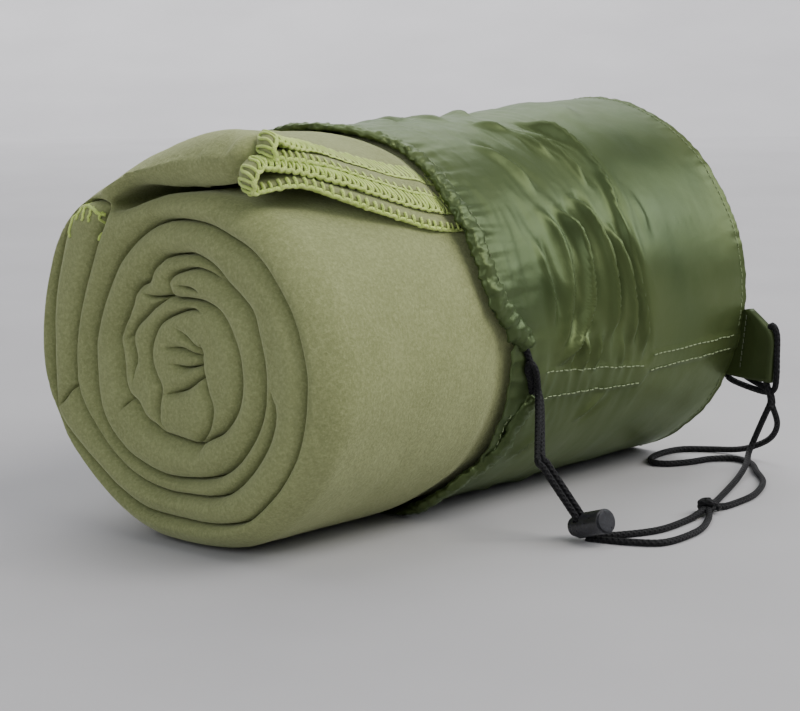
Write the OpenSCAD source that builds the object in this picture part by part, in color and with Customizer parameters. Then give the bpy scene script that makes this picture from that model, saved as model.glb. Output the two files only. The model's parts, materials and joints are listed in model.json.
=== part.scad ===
// Fleece camp blanket, folded and rolled, in a drawcord stuff sack with a cord lock.
// +X runs along the roll from its open end to the sack's closed end, +Z is up, and
// the origin lies on the floor under the middle of the roll. All sizes in millimetres.

/* [Rolled blanket] */
// Diameter of the rolled blanket
roll_d = 176; // [172:1:182]
// Length of the roll
roll_len = 300; // [290:2:320]
// How far the underside is flattened by its own weight
rest_sag = 2; // [1:0.5:3]
// Clear gap between neighbouring turns
turn_gap = 0.8; // [0.6:0.1:1.2]
// Extra air under the loose flap at the top
flap_loft = 5; // [2:0.5:7]
// Folded layers that end at the hem
hem_layers = 4; // [2:1:5]
// Angle past the top at which the lowest layer of the hem ends
hem_angle = 47; // [40:1:52]
// Angle from one layer's edge to the next
hem_step = 6.5; // [5:0.5:8]
// Distance from one hem stitch to the next
stitch_pitch = 4; // [3:0.5:8]

/* [Stuff sack] */
// Place of the sack's mouth along the roll
mouth_x = -42; // [-60:1:-30]
// Width of the drawcord tunnel
casing_w = 10; // [9:0.5:14]
// Thickness of the sack's cloth, seam allowances included
cloth_t = 0.8; // [0.6:0.1:1]
// Angle of the upper cord exit, from the underside towards -Y
exit_high = 86; // [84:1:88]
// Angle of the lower cord exit
exit_low = 70; // [68:1:72]
// Angle of the side seam, from the underside towards -Y
seam_angle = 70; // [66:1:74]
// Width of the felled side seam
seam_w = 11; // [9:0.5:12]
// Distance between its two rows of stitches
seam_rows = 8.4; // [7:0.1:8.6]

/* [Cord] */
// Diameter of the cord
cord_d = 3; // [2.8:0.1:3.2]
// Height of the tab's cord bight above the floor
tab_low_z = 42; // [40:1:46]
// Length of the tab's bight
tab_bight = 27.5; // [26:0.5:30]

/* [Cord lock] */
// Outside diameter of the barrel
barrel_d = 11; // [10.8:0.1:12]
// Diameter of the plunger
plunger_d = 8.7; // [8.6:0.1:9]
// Travel of the plunger when it is pressed
plunger_travel = 3; // [2:0.5:3]
// Travel of the lock along the cord, towards the mouth
lock_travel = 28; // [10:1:28]
// Turn of the barrel about the vertical
lock_turn = -9.7; // [-14:0.1:-6]
// Rise of the barrel's closed end
lock_tilt = 18; // [14:0.5:20]
// Lean of the two cords about the barrel
lock_roll = 28.6; // [24:0.1:32]

/* [Hidden] */
$fn = 96;

roll_r = roll_d / 2;
axis_z = roll_r - rest_sag;          // height of the roll's axis
roll_x0 = -roll_len / 2;             // open end of the roll
roll_x1 = roll_len / 2;              // closed end of the sack
soft_gap = 0.4;                      // air between soft solids
hem_flat = max(1, hem_angle - hem_layers * hem_step);  // angle that the top layer climbs over
cord_r = cord_d / 2;
lie_z = cord_r + 0.1;                // height of a cord that lies on the floor

// Outer radius of the blanket at each quarter turn, from the flap's top inwards.
// The roll closes in by one folded thickness a turn and is a little oval.
quarter_r = [
  roll_r + 4, roll_r, roll_r, roll_r,
  67, 74, 74, 74,
  54, 52, 56, 52,
  39, 35, 39, 36,
  24
];
hem_dip = 3;                         // how much lower the flap is at its hem
turn_step = 10;                      // degrees between the points of an outline
roll_turns_end = 360 * 3.8;          // travel at which the innermost slit ends

bag_r = roll_r + 0.5;                // outside of the sack's side panel
bag_in_r = bag_r - cloth_t;
packed_r = bag_in_r - soft_gap;      // the roll where the sack holds it
casing_t = cord_d + 1.8;             // tunnel, from its inner to its outer face
tunnel_wall = 0.6;
packed_z = casing_t + soft_gap;      // underside of the roll inside the sack
panel_x0 = mouth_x + casing_w + 0.1;
cord_ring_r = bag_in_r + casing_t / 2;
casing_mid_x = mouth_x + casing_w / 2;
thread_d = 0.6;
thread_lift = 0.05;                  // air between a thread and the cloth below it
tape_t = 0.6;                        // how far the felled seam stands out
big = 400;

// The cord leaves its tunnel, runs along the sack and swings from these two points.
exit_x = -20;
swing_x = -15.5;
run_r = bag_r + cord_r + 0.8;
exit_room = 2.5;                     // half the angle that each exit leaves open
tape_x0 = exit_x + cord_r + 1.1;     // the seam tape starts past the cord exit

// The lock sits on the cord where both strands reach the floor.
lock_at = [-19.5, -121.8, 7.2];
strand_gap = 3.2;                    // from one strand's centre to the other's
barrel_open = -3.2;                  // open end of the barrel, from the strands
barrel_shut = 14.7;                  // closed end of the barrel
barrel_wall = 1.4;
barrel_rim = 0.8;                    // step round the closed end
strand_room = 0.4;                   // air round the strands in the barrel's slot
bend_room = 0.9;                     // from the barrel to the bend of the cord below it
bore_d = plunger_d + 0.2;
plunger_out = -6.5;                  // pressed end of the plunger
plunger_in = 8;                      // inner end of the plunger
spring_d = 5;
spring_wire = 0.7;
spring_well = 4;                     // depth of the spring's seat in the plunger
spring_turns = 4;

tab_x = roll_x1;                     // the tab's middle plane
tab_gap = cord_d + 0.8;              // the tab's open width, for the cord
tab_cloth = 0.7;
tab_fold_t = 1.8;                    // doubled cloth at the tab's fold
tab_fold_y = -105.5;                 // the tab's outer, folded edge
bight_r = 3.15;                      // half the distance between the bight's legs
bight_y = tab_fold_y + 0.75;
tab_thread_y = tab_fold_y + 12.5;    // the tab's stitches, in from its fold
tab_thread_z = 52;                   // their lower end
tab_thread_len = 24;
end_thread_x = roll_x1 - 2.5;        // the stitches of the end seam
swing_low_z = tab_low_z - bight_r - 5.65;

// ---------- helpers ----------

// A point of the roll's section: radius r, and angle a from the top towards +Y.
function on_roll(r, a) = [r * sin(a), axis_z + r * cos(a)];

// A point of the roll's section, its angle counted from the underside towards -Y.
function on_side(r, a) = [-r * sin(a), axis_z - r * cos(a)];

// Smooth step from a to b.
function ease(a, b, f) = a + (b - a) * (1 - cos(180 * f)) / 2;

// Outer radius of the blanket after t degrees of travel from the flap's top.
function wrap_r(t) =
  t <= 0 ? ease(quarter_r[0] - hem_dip, quarter_r[0], max(0, 1 + t / hem_flat))
  : let (k = floor(t / 90), last = len(quarter_r) - 1)
    k >= last ? quarter_r[last] : ease(quarter_r[k], quarter_r[k + 1], t / 90 - k);

// Inner radius of the same turn; the flap stands clear of the turn below it.
function wrap_in_r(t) =
  wrap_r(t + 360) + turn_gap + (t > -30 && t < 90 ? flap_loft * sin((t + 30) * 1.5) : 0);

function add(a, b) = [for (i = [0:2]) a[i] + b[i]];

// Catmull-Rom curve through the points p, n pieces to each span.
function curve(p, n) = [
  for (i = [0 : len(p) - 2])
    for (j = [0 : n - 1])
      let (
        a = p[max(i - 1, 0)], b = p[i], c = p[i + 1], d = p[min(i + 2, len(p) - 1)],
        f = j / n
      )
      0.5 * (2 * b + (c - a) * f + (2 * a - 5 * b + 4 * c - d) * f * f
        + (3 * b - a - 3 * c + d) * f * f * f),
  p[len(p) - 1]
];

// Extrudes a section of the roll from x0 to x1.
module along_x(x0, x1) {
  translate([x0, 0, 0])
    rotate([90, 0, 90])
      linear_extrude(x1 - x0)
        children();
}

// A circle of radius r round the roll's axis, cut flat at height z.
module resting_disc(r, z) {
  intersection() {
    translate([0, axis_z]) circle(r);
    translate([-big / 2, z]) square([big, big]);
  }
}

// The part of the section between two angles from the underside towards -Y.
module side_sector(a0, a1) {
  polygon([
    [0, axis_z],
    on_side(big, a0),
    on_side(big, (a0 + a1) / 2),
    on_side(big, a1)
  ]);
}

// A round cord through the points p.
module cord_through(p, r) {
  for (i = [0 : len(p) - 2])
    hull() {
      translate(p[i]) sphere(r, $fn = 8);
      translate(p[i + 1]) sphere(r, $fn = 8);
    }
}

// The cord lock's own frame: +Z along the barrel to its closed end, +Y up the strands.
module at_lock() {
  translate(lock_at)
    rotate([0, 0, lock_turn])
      rotate([90 - lock_tilt, 0, 0])
        rotate([0, 0, lock_roll])
          children();
}

// The same frame as a function, for the cord's points.
function turn_z(p, a) = [p[0] * cos(a) - p[1] * sin(a), p[0] * sin(a) + p[1] * cos(a), p[2]];
function turn_x(p, a) = [p[0], p[1] * cos(a) - p[2] * sin(a), p[1] * sin(a) + p[2] * cos(a)];
function from_lock(p) =
  add(lock_at, turn_z(turn_x(turn_z(p, lock_roll), 90 - lock_tilt), lock_turn));

// ---------- blanket ----------

// The hem ends in steps, one folded layer at a time, lowest layer first.
function hem_in_r() = wrap_in_r(-hem_angle);
function hem_layer_t() = (wrap_r(-hem_angle) - hem_in_r()) / hem_layers;
function hem_edge(i) = -hem_angle + i * hem_step;

module roll_section() {
  hem = [
    for (i = [0 : hem_layers - 1])
      for (j = [0, 1])
        on_roll(hem_in_r() + (i + j) * hem_layer_t(), hem_edge(i))
  ];
  outside = [
    for (t = [hem_edge(hem_layers - 1) + hem_step : turn_step : roll_turns_end])
      on_roll(wrap_r(t), t)
  ];
  inside = [
    for (t = [roll_turns_end - 360 : -turn_step : -hem_angle + 1])
      on_roll(wrap_in_r(t), t)
  ];
  intersection() {
    polygon(concat(hem, outside, inside));
    translate([-big / 2, 0]) square([big, big]);
  }
}

module fleece_blanket() {
  color([0.52, 0.55, 0.36])
    difference() {
      along_x(roll_x0, roll_x1 - cloth_t - soft_gap) roll_section();
      along_x(mouth_x - soft_gap, roll_x1 + 1)
        difference() {
          square(big * 2, center = true);
          resting_disc(packed_r, packed_z);
        }
    }
}

module hem_yarn() {
  yarn = 0.9;
  bite = 0.85 * hem_step * PI / 180 * roll_r;  // how far a stitch reaches in from the edge
  x0 = roll_x0 + 2;
  x1 = mouth_x - 3;
  color([0.78, 0.88, 0.5])
    for (i = [0 : hem_layers - 1]) {
      mid = hem_edge(i) + hem_step / 2;
      r = (hem_in_r() + (i + 1) * hem_layer_t()) * cos(hem_step / 2) + 0.1;
      translate([0, on_roll(r, mid)[0], on_roll(r, mid)[1]])
        rotate([-mid, 0, 0]) {
          translate([x0, -bite / 2, 0])
            cube([x1 - x0, yarn, yarn]);
          for (x = [x0 : stitch_pitch : x1 - yarn])
            translate([x, -bite / 2, 0])
              cube([yarn, bite, yarn]);
        }
    }
}

// ---------- stuff sack ----------

module bag_side_panel() {
  color([0.3, 0.4, 0.22])
    along_x(panel_x0, roll_x1 - cloth_t - 0.1)
      difference() {
        resting_disc(bag_r, 0);
        resting_disc(bag_in_r, cloth_t);
      }
}

module bag_end_panel() {
  color([0.27, 0.36, 0.2])
    along_x(roll_x1 - cloth_t, roll_x1)
      resting_disc(bag_r, 0);
}

// The tunnel is open at the two cord exits, where the mouth parts at the side seam.
module mouth_casing() {
  outer_r = bag_in_r + casing_t;
  color([0.33, 0.43, 0.24])
    difference() {
      along_x(mouth_x, mouth_x + casing_w)
        difference() {
          resting_disc(outer_r, 0);
          resting_disc(bag_in_r, casing_t);
          side_sector(exit_low - exit_room, exit_high + exit_room);
        }
      along_x(mouth_x + tunnel_wall, mouth_x + casing_w - tunnel_wall)
        difference() {
          resting_disc(outer_r - tunnel_wall, tunnel_wall);
          resting_disc(bag_in_r + tunnel_wall, casing_t - tunnel_wall);
        }
    }
}

// A thread that lies on the sack all round, except on the floor and in one sector.
module ring_thread(x, a0, a1) {
  along_x(x, x + thread_d)
    difference() {
      resting_disc(bag_r + thread_lift + thread_d, 0);
      resting_disc(bag_r + thread_lift, -1);
      side_sector(a0, a1);
    }
}

module casing_thread() {
  color([0.62, 0.7, 0.45])
    ring_thread(panel_x0 + 1, exit_low - 2 * exit_room, exit_high + 2 * exit_room);
}

module end_seam_thread() {
  color([0.4, 0.5, 0.28])
    ring_thread(end_thread_x, seam_angle - 12, seam_angle + 20);
}

module side_seam_tape() {
  half = seam_w / 2 / bag_r * 180 / PI;
  color([0.28, 0.37, 0.2])
    along_x(tape_x0, roll_x1 - 4)
      intersection() {
        difference() {
          resting_disc(bag_r + 0.1 + tape_t, 0);
          resting_disc(bag_r + 0.1, -1);
        }
        side_sector(seam_angle - half, seam_angle + half);
      }
}

module side_seam_thread() {
  row = seam_rows / 2 / bag_r * 180 / PI;
  r = bag_r + 0.1 + tape_t + thread_lift + thread_d / 2;
  color([0.68, 0.76, 0.5])
    for (a = [seam_angle - row, seam_angle + row])
      translate([tape_x0 + 1, on_side(r, a)[0], on_side(r, a)[1]])
        rotate([0, 90, 0])
          cylinder(h = roll_x1 - tape_x0 - 6, d = thread_d);
}

// ---------- tab ----------

module tab_outline() {
  difference() {
    polygon([
      [-70, 47],
      [tab_fold_y + 1, 44],
      [tab_fold_y, 67],
      [-90, 80],
      [-70, 80]
    ]);
    resting_disc(bag_r + 0.1, 0);
  }
}

// A strip of the sack's cloth, folded so that the cord can pass through the fold.
module pull_tab() {
  width = tab_gap + 2 * tab_cloth;
  color([0.25, 0.34, 0.16])
    difference() {
      along_x(tab_x - width / 2, tab_x + width / 2) tab_outline();
      along_x(tab_x - tab_gap / 2, tab_x + tab_gap / 2)
        translate([tab_fold_y + tab_fold_t, 0]) square(bag_r);
    }
}

module tab_thread() {
  width = tab_gap + 2 * tab_cloth;
  color([0.5, 0.6, 0.3])
    for (side = [-1, 1])
      translate([tab_x + side * (width / 2 + thread_lift + thread_d / 2), tab_thread_y, tab_thread_z])
        cylinder(h = tab_thread_len, d = thread_d);
}

// ---------- cord ----------

// Where the drawcord leaves its tunnel at angle a, and where it ends on the sack.
function exit_point(x, a) = [x, on_side(cord_ring_r, a)[0], on_side(cord_ring_r, a)[1]];

// Round the mouth inside its tunnel, flat along the floor, with an end out of each exit.
module drawcord() {
  step = 8;
  low_z = casing_t / 2;
  low_angle = acos((axis_z - low_z) / cord_ring_r);
  first = exit_high;
  last = 360 + exit_low;
  ring = [
    for (a = [first : step : 360 - low_angle]) a,
    360 - low_angle,
    360 + low_angle,
    for (a = [last - step * floor((last - 360 - low_angle) / step) : step : last]) a
  ];
  color([0.13, 0.12, 0.13])
    cord_through(concat(
      [exit_point(exit_x, first)],
      [for (a = ring) exit_point(casing_mid_x, a)],
      [exit_point(exit_x, last)]
    ), cord_r);
}

// The cord's bight through the tab.
module tab_hitch() {
  color([0.13, 0.12, 0.13])
    translate([tab_x, bight_y, 0])
      rotate([90, 0, 90]) {
        for (end = [0, 1])
          translate([0, tab_low_z + end * tab_bight, 0])
            rotate([0, 0, end ? 0 : 180])
              rotate_extrude(angle = 180)
                translate([bight_r, 0])
                  circle(cord_r, $fn = 32);
        for (side = [-1, 1])
          translate([side * bight_r, tab_low_z, 0])
            rotate([-90, 0, 0])
              cylinder(h = tab_bight, r = cord_r, $fn = 32);
      }
}

// Both strands, from the cord exits through the lock to the knot, and on to the tab.
module cord_loop() {
  straight = lock_travel + barrel_d / 2 + 1.5;
  out = barrel_d / 2 + bend_room;
  knot = [57, -133, 3.4];
  high_exit = [swing_x, on_side(run_r, exit_high)[0], on_side(run_r, exit_high)[1]];
  low_exit = [swing_x, on_side(run_r, exit_low)[0], on_side(run_r, exit_low)[1]];
  swing_low = [tab_x, bight_y, swing_low_z];
  from_high = [high_exit, [-15, -94, 66], [-21, -101, 50]];
  from_low = [low_exit, [-20, -96, 47]];
  near = [[-6, -130, lie_z], [13, -138, lie_z], [36, -137, lie_z], knot];
  far = [[-12, -142, lie_z], [-2, -153, lie_z], [23, -152, lie_z], [44, -143, lie_z], knot];
  // Straight from the knot to the tab, over the slack strand
  short_way = [
    knot, [80, -124, lie_z], [115, -110, lie_z + 0.6], [145, -96, lie_z + 3.4],
    [151, -95, 10], [151, -99, 20], swing_low
  ];
  // From the knot round the slack loop, which reaches back under the sack's side
  slack_way = [
    knot, [75, -135, lie_z], [97, -132, lie_z], [134, -110, lie_z], [156, -90, lie_z],
    [155, -77, lie_z], [133, -70, lie_z], [120, -60, lie_z], [128, -50, lie_z],
    [152, -45, lie_z], [167, -65, lie_z], [166, -85, 6], [163, -102, 15],
    [160, -107, 24], swing_low
  ];
  side = strand_gap / 2;
  color([0.13, 0.12, 0.13]) {
    for (run = [[from_high, side, near], [from_low, -side, far]])
      cord_through(concat(
        curve(concat(run[0], [from_lock([run[1], straight, 0])]), 3),
        [from_lock([run[1], -out, 0])],
        curve(run[2], 3)
      ), cord_r);
    cord_through(curve(short_way, 3), cord_r);
    cord_through(curve(slack_way, 3), cord_r);
    // The knot that joins the cord's two ends
    translate(knot) sphere(3.3, $fn = 12);
    cord_through([add(knot, [0, 0, 1]), add(knot, [4, -9, -1.6])], cord_r);
  }
}

// ---------- cord lock ----------

// A slot for two strands side by side: it crosses the lock along Y.
module strand_slot(z0, z1) {
  width = strand_gap + cord_d + 2 * strand_room;
  translate([-width / 2, -barrel_d, z0])
    cube([width, 2 * barrel_d, z1 - z0]);
}

module lock_barrel() {
  half_slot = cord_r + strand_room;
  color([0.1, 0.1, 0.11])
    at_lock()
      difference() {
        union() {
          translate([0, 0, barrel_open])
            cylinder(h = barrel_shut - barrel_open - barrel_rim, d = barrel_d);
          translate([0, 0, barrel_shut - barrel_rim])
            cylinder(h = barrel_rim, d = barrel_d - 2 * barrel_rim);
        }
        translate([0, 0, barrel_open - 1])
          cylinder(h = barrel_shut - barrel_wall - barrel_open + 1, d = bore_d);
        strand_slot(-half_slot, half_slot);
      }
}

// The plunger's slot is longer than the barrel's, so that pressing it frees the cord.
module lock_plunger() {
  half_slot = cord_r + 0.2;
  color([0.09, 0.09, 0.1])
    at_lock()
      difference() {
        translate([0, 0, plunger_out])
          cylinder(h = plunger_in - plunger_out, d = plunger_d);
        translate([0, 0, plunger_in - spring_well])
          cylinder(h = spring_well + 1, d = spring_d + spring_wire + 0.4);
        strand_slot(-half_slot - plunger_travel, half_slot);
      }
}

module lock_spring() {
  z0 = plunger_in - spring_well + spring_wire / 2 + 0.1;
  z1 = barrel_shut - barrel_wall - spring_wire / 2 - 0.1;
  turn = 36;
  steps = spring_turns * 360 / turn;
  color([0.7, 0.7, 0.72])
    at_lock()
      cord_through([
        for (i = [0 : steps])
          [spring_d / 2 * cos(i * turn), spring_d / 2 * sin(i * turn), z0 + (z1 - z0) * i / steps]
      ], spring_wire / 2);
}

fleece_blanket();
hem_yarn();
bag_side_panel();
bag_end_panel();
mouth_casing();
casing_thread();
side_seam_tape();
side_seam_thread();
end_seam_thread();
pull_tab();
tab_thread();
drawcord();
tab_hitch();
cord_loop();
lock_barrel();
lock_spring();
lock_plunger();
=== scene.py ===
"""Fleece camp blanket, folded and rolled, in a satin stuff sack with a drawcord and a cord lock.

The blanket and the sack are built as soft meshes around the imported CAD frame. Lists of
points are in millimetres and everything that is built from them is in metres.
"""
import json
import math
import random

import bpy
import numpy as np
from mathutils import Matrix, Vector, geometry, noise
from mathutils.bvhtree import BVHTree


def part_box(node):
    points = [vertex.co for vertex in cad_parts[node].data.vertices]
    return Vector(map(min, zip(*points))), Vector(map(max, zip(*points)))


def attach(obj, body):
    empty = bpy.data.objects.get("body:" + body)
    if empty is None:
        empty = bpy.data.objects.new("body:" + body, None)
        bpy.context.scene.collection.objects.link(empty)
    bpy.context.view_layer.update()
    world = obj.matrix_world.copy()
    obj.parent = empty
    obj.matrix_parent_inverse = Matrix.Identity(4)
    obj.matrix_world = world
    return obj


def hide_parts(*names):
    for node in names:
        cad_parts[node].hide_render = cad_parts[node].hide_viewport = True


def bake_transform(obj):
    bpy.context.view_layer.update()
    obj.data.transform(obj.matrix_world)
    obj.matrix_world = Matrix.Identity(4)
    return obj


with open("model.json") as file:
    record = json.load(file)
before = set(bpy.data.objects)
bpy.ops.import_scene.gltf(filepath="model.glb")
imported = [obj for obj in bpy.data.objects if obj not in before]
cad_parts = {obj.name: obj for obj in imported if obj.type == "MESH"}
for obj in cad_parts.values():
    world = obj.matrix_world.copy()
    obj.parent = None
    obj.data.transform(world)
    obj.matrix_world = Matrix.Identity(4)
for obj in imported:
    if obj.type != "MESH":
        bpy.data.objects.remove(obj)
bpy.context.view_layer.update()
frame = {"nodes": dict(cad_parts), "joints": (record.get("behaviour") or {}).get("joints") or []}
MM = 0.001

# ---------- places taken from the frame ----------

# In metres
roll_lo, roll_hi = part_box("fleece_blanket")
panel_lo, panel_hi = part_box("bag_end_panel")
BAG_R = (panel_hi.y - panel_lo.y) / 2
OPEN_X = roll_lo.x

# In millimetres: the roll's axis and ends, the sack's radius, and one degree round the sack
AXIS_MM = (panel_hi.z - BAG_R) / MM
OPEN_MM = OPEN_X / MM
SHUT_MM = roll_hi.x / MM
SACK_R = BAG_R / MM
DEGREE_MM = math.radians(1) * SACK_R

# ---------- small geometry helpers ----------

TINY = 1e-12
CURVE_STEPS = 12  # points between two given ones, before a curve is resampled
CHUNK = 2000      # points that are measured at one time, to save memory


def unit(vectors):
    """Rows of vectors, each made one unit long."""
    return vectors / np.maximum(np.linalg.norm(vectors, axis=1), TINY)[:, None]


def distances(path):
    """How far along a polyline each of its points lies."""
    return np.concatenate([[0], np.cumsum(np.linalg.norm(np.diff(path, axis=0), axis=1))])


def resample(points, step):
    """Points at equal steps along a polyline. A row of four is a place (y, z) and two values."""
    along = distances(points if points.shape[1] < 4 else points[:, :2])
    count = max(2, int(round(along[-1] / step)) + 1)
    wanted = np.linspace(0, along[-1], count)
    return np.column_stack([np.interp(wanted, along, column) for column in points.T])


def smooth_path(points, step, closed=False):
    """A Catmull-Rom curve through the points, resampled at equal steps."""
    p = np.asarray(points, float)
    if closed:
        p = np.vstack([p[-1], p, p[0], p[1]])
    else:
        p = np.vstack([2 * p[0] - p[1], p, 2 * p[-1] - p[-2]])
    t = np.linspace(0, 1, CURVE_STEPS, endpoint=False)[:, None]
    parts = []
    for a, b, c, d in zip(p[:-3], p[1:-2], p[2:-1], p[3:]):
        square = (2 * a - 5 * b + 4 * c - d) * t**2
        cube = (3 * b - a - 3 * c + d) * t**3
        parts.append(0.5 * (2 * b + (c - a) * t + square + cube))
    parts.append(p[-2:-1])
    return resample(np.vstack(parts), step)


def soft_interp(x, xs, ys, blur=6.0):
    """Values read off a table and rounded over the blur length."""
    steps = np.linspace(-blur, blur, 5)
    return sum(np.interp(np.asarray(x) + s, xs, ys) for s in steps) / len(steps)


def smoothstep(t):
    """Goes softly from 0 to 1 as t does, and stays there."""
    t = np.clip(t, 0, 1)
    return t * t * (3 - 2 * t)


def on_roll(radius, angle, x):
    """Points in mm about the roll's axis; the angle is in degrees from the top towards -Y."""
    a = np.radians(angle)
    return np.stack([x + 0 * a, -radius * np.sin(a), AXIS_MM + radius * np.cos(a)], axis=-1)


def distance_to_path(points, path):
    """Distance from each 2-D point to a polyline, and how far along it the nearest place is."""
    seg = np.diff(path, axis=0)
    seg_len = np.linalg.norm(seg, axis=1)
    start = distances(path)
    best = np.empty(len(points))
    where = np.empty(len(points))
    for i in range(0, len(points), CHUNK):
        rel = points[i : i + CHUNK, None, :] - path[None, :-1]
        t = np.clip((rel * seg[None]).sum(2) / np.maximum(seg_len**2, TINY), 0, 1)
        gap = np.linalg.norm(rel - t[..., None] * seg[None], axis=2)
        nearest = gap.argmin(1)
        rows = np.arange(len(nearest))
        best[i : i + CHUNK] = gap[rows, nearest]
        where[i : i + CHUNK] = start[nearest] + t[rows, nearest] * seg_len[nearest]
    return best, where


def inside(points, polygon):
    """Even-odd test of 2-D points against a closed polygon."""
    ax, ay = polygon[:, 0], polygon[:, 1]
    bx, by = np.roll(ax, -1), np.roll(ay, -1)
    result = np.zeros(len(points), bool)
    for i in range(0, len(points), CHUNK):
        px = points[i : i + CHUNK, 0][:, None]
        py = points[i : i + CHUNK, 1][:, None]
        straddles = (ay > py) != (by > py)
        cross = ax + (py - ay) / np.where(by == ay, TINY, by - ay) * (bx - ax)
        result[i : i + CHUNK] = (straddles & (px < cross)).sum(1) % 2 == 1
    return result


def wobble(points, scale, seed):
    """Smooth noise between about -1 and 1 at each point; scale is its wavelength in mm."""
    offset = Vector((seed * 17.3, seed * 5.1, seed * 9.7))
    return np.array([noise.noise(Vector(p) / scale + offset) for p in points])


def wobble_over(seed, *columns):
    """Smooth noise over two or three columns that are already divided by its wavelengths."""
    shape = np.shape(columns[0])
    flat = [np.broadcast_to(column, shape).ravel() for column in (*columns, 0)[:3]]
    return wobble(np.column_stack(flat), 1.0, seed).reshape(shape)


def make_object(name, verts_mm, faces, material, attributes=None):
    """A smooth-shaded object in metres from vertices in mm, with named values at its points."""
    mesh = bpy.data.meshes.new(name)
    mesh.from_pydata((np.asarray(verts_mm) * MM).tolist(), [], faces)
    mesh.validate()
    mesh.shade_smooth()
    for key, values in (attributes or {}).items():
        layer = mesh.attributes.new(key, "FLOAT", "POINT")
        layer.data.foreach_set("value", np.asarray(values, np.float32))
    obj = bpy.data.objects.new(name, mesh)
    bpy.context.scene.collection.objects.link(obj)
    obj.data.materials.append(material)
    return obj


def grid_faces(rows, cols, closed_cols=False, first=0):
    """Quads of a grid of vertices that is stored row by row."""
    faces = []
    for r in range(rows - 1):
        here = first + r * cols
        for c in range(cols if closed_cols else cols - 1):
            c2 = (c + 1) % cols
            faces.append((here + c, here + c2, here + cols + c2, here + cols + c))
    return faces


def joining_faces(first, second, count):
    """Quads between two closed rows of vertices that lie apart in the list."""
    steps = [(c, (c + 1) % count) for c in range(count)]
    return [(first + a, first + b, second + b, second + a) for a, b in steps]


def tube_faces(rows, sides):
    """Quads of a tube, and a flat face at each of its ends."""
    last = (rows - 1) * sides
    caps = [tuple(range(sides))[::-1], tuple(range(last, last + sides))]
    return grid_faces(rows, sides, closed_cols=True) + caps


def tube(path, radius, sides=8):
    """Vertices, faces, and the along and around coordinates of a round tube about a path."""
    tangents = unit(np.gradient(path, axis=0))
    any_side = (0.3, 0.5, 0.8)
    normal = np.cross(tangents[0], any_side)
    normal /= np.linalg.norm(normal)
    normals = np.empty_like(path)
    for i, tangent in enumerate(tangents):
        normal = normal - tangent * normal.dot(tangent)
        normal /= np.linalg.norm(normal)
        normals[i] = normal
    across = np.cross(tangents, normals)
    around = np.linspace(0, 2 * math.pi, sides, endpoint=False)
    ring = normals[:, None] * np.cos(around)[None, :, None]
    ring = ring + across[:, None] * np.sin(around)[None, :, None]
    verts = (path[:, None] + ring * radius).reshape(-1, 3)
    along = np.repeat(distances(path), sides)
    return verts, tube_faces(len(path), sides), along, np.tile(around, len(path))


def join_parts(parts):
    """One vertex list and one face list from several (verts, faces, ...) tuples."""
    verts, faces, shift = [], [], 0
    for part in parts:
        verts.append(part[0])
        faces.extend(tuple(i + shift for i in face) for face in part[1])
        shift += len(part[0])
    return np.vstack(verts), faces


# ---------- materials ----------


class Nodes:
    """Shorthand for building a node material."""

    def __init__(self, name):
        self.material = bpy.data.materials.new(name)
        self.material.use_nodes = True
        self.tree = self.material.node_tree
        self.shader = self.tree.nodes["Principled BSDF"]

    def fill(self, socket, value):
        """Links a socket to another node's output, or sets its number or its colour."""
        if isinstance(value, bpy.types.NodeSocket):
            self.tree.links.new(value, socket)
        elif isinstance(value, tuple):
            socket.default_value = (*value, 1)
        else:
            socket.default_value = value

    def add(self, kind, inputs=None, **settings):
        node = self.tree.nodes.new(kind)
        for key, value in settings.items():
            setattr(node, key, value)
        for key, value in (inputs or {}).items():
            self.fill(node.inputs[key], value)
        return node

    def math(self, operation, a, b=0.0):
        return self.add("ShaderNodeMath", {0: a, 1: b}, operation=operation).outputs[0]

    def coords(self):
        return self.add("ShaderNodeTexCoord").outputs["Object"]

    def noise(self, scale, detail=2.0, roughness=0.5):
        inputs = {"Vector": self.coords(), "Scale": scale, "Detail": detail, "Roughness": roughness}
        return self.add("ShaderNodeTexNoise", inputs).outputs["Fac"]

    def wave(self, scale, direction):
        inputs = {"Vector": self.coords(), "Scale": scale / (2 * math.pi)}
        return self.add("ShaderNodeTexWave", inputs, bands_direction=direction).outputs["Fac"]

    def attribute(self, name):
        return self.add("ShaderNodeAttribute", attribute_name=name).outputs["Fac"]

    def ramp(self, factor, *stops):
        node = self.add("ShaderNodeValToRGB", {"Fac": factor})
        for element, (place, color) in zip(node.color_ramp.elements, stops):
            element.position = place
            element.color = (*color, 1)
        return node.outputs["Color"]

    def mix(self, factor, a, b):
        return self.add("ShaderNodeMix", {0: factor, 6: a, 7: b}, data_type="RGBA").outputs[2]

    def bump(self, height, strength, distance, below=None):
        inputs = {"Height": height, "Strength": strength, "Distance": distance}
        if below is not None:
            inputs["Normal"] = below
        return self.add("ShaderNodeBump", inputs).outputs["Normal"]

    def finish(self, **inputs):
        for key, value in inputs.items():
            self.fill(self.shader.inputs[key.replace("_", " ")], value)
        return self.material


def grey(level):
    return (level, level, level)


def shade(color, tone):
    return tuple(tone * c for c in color)


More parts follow.
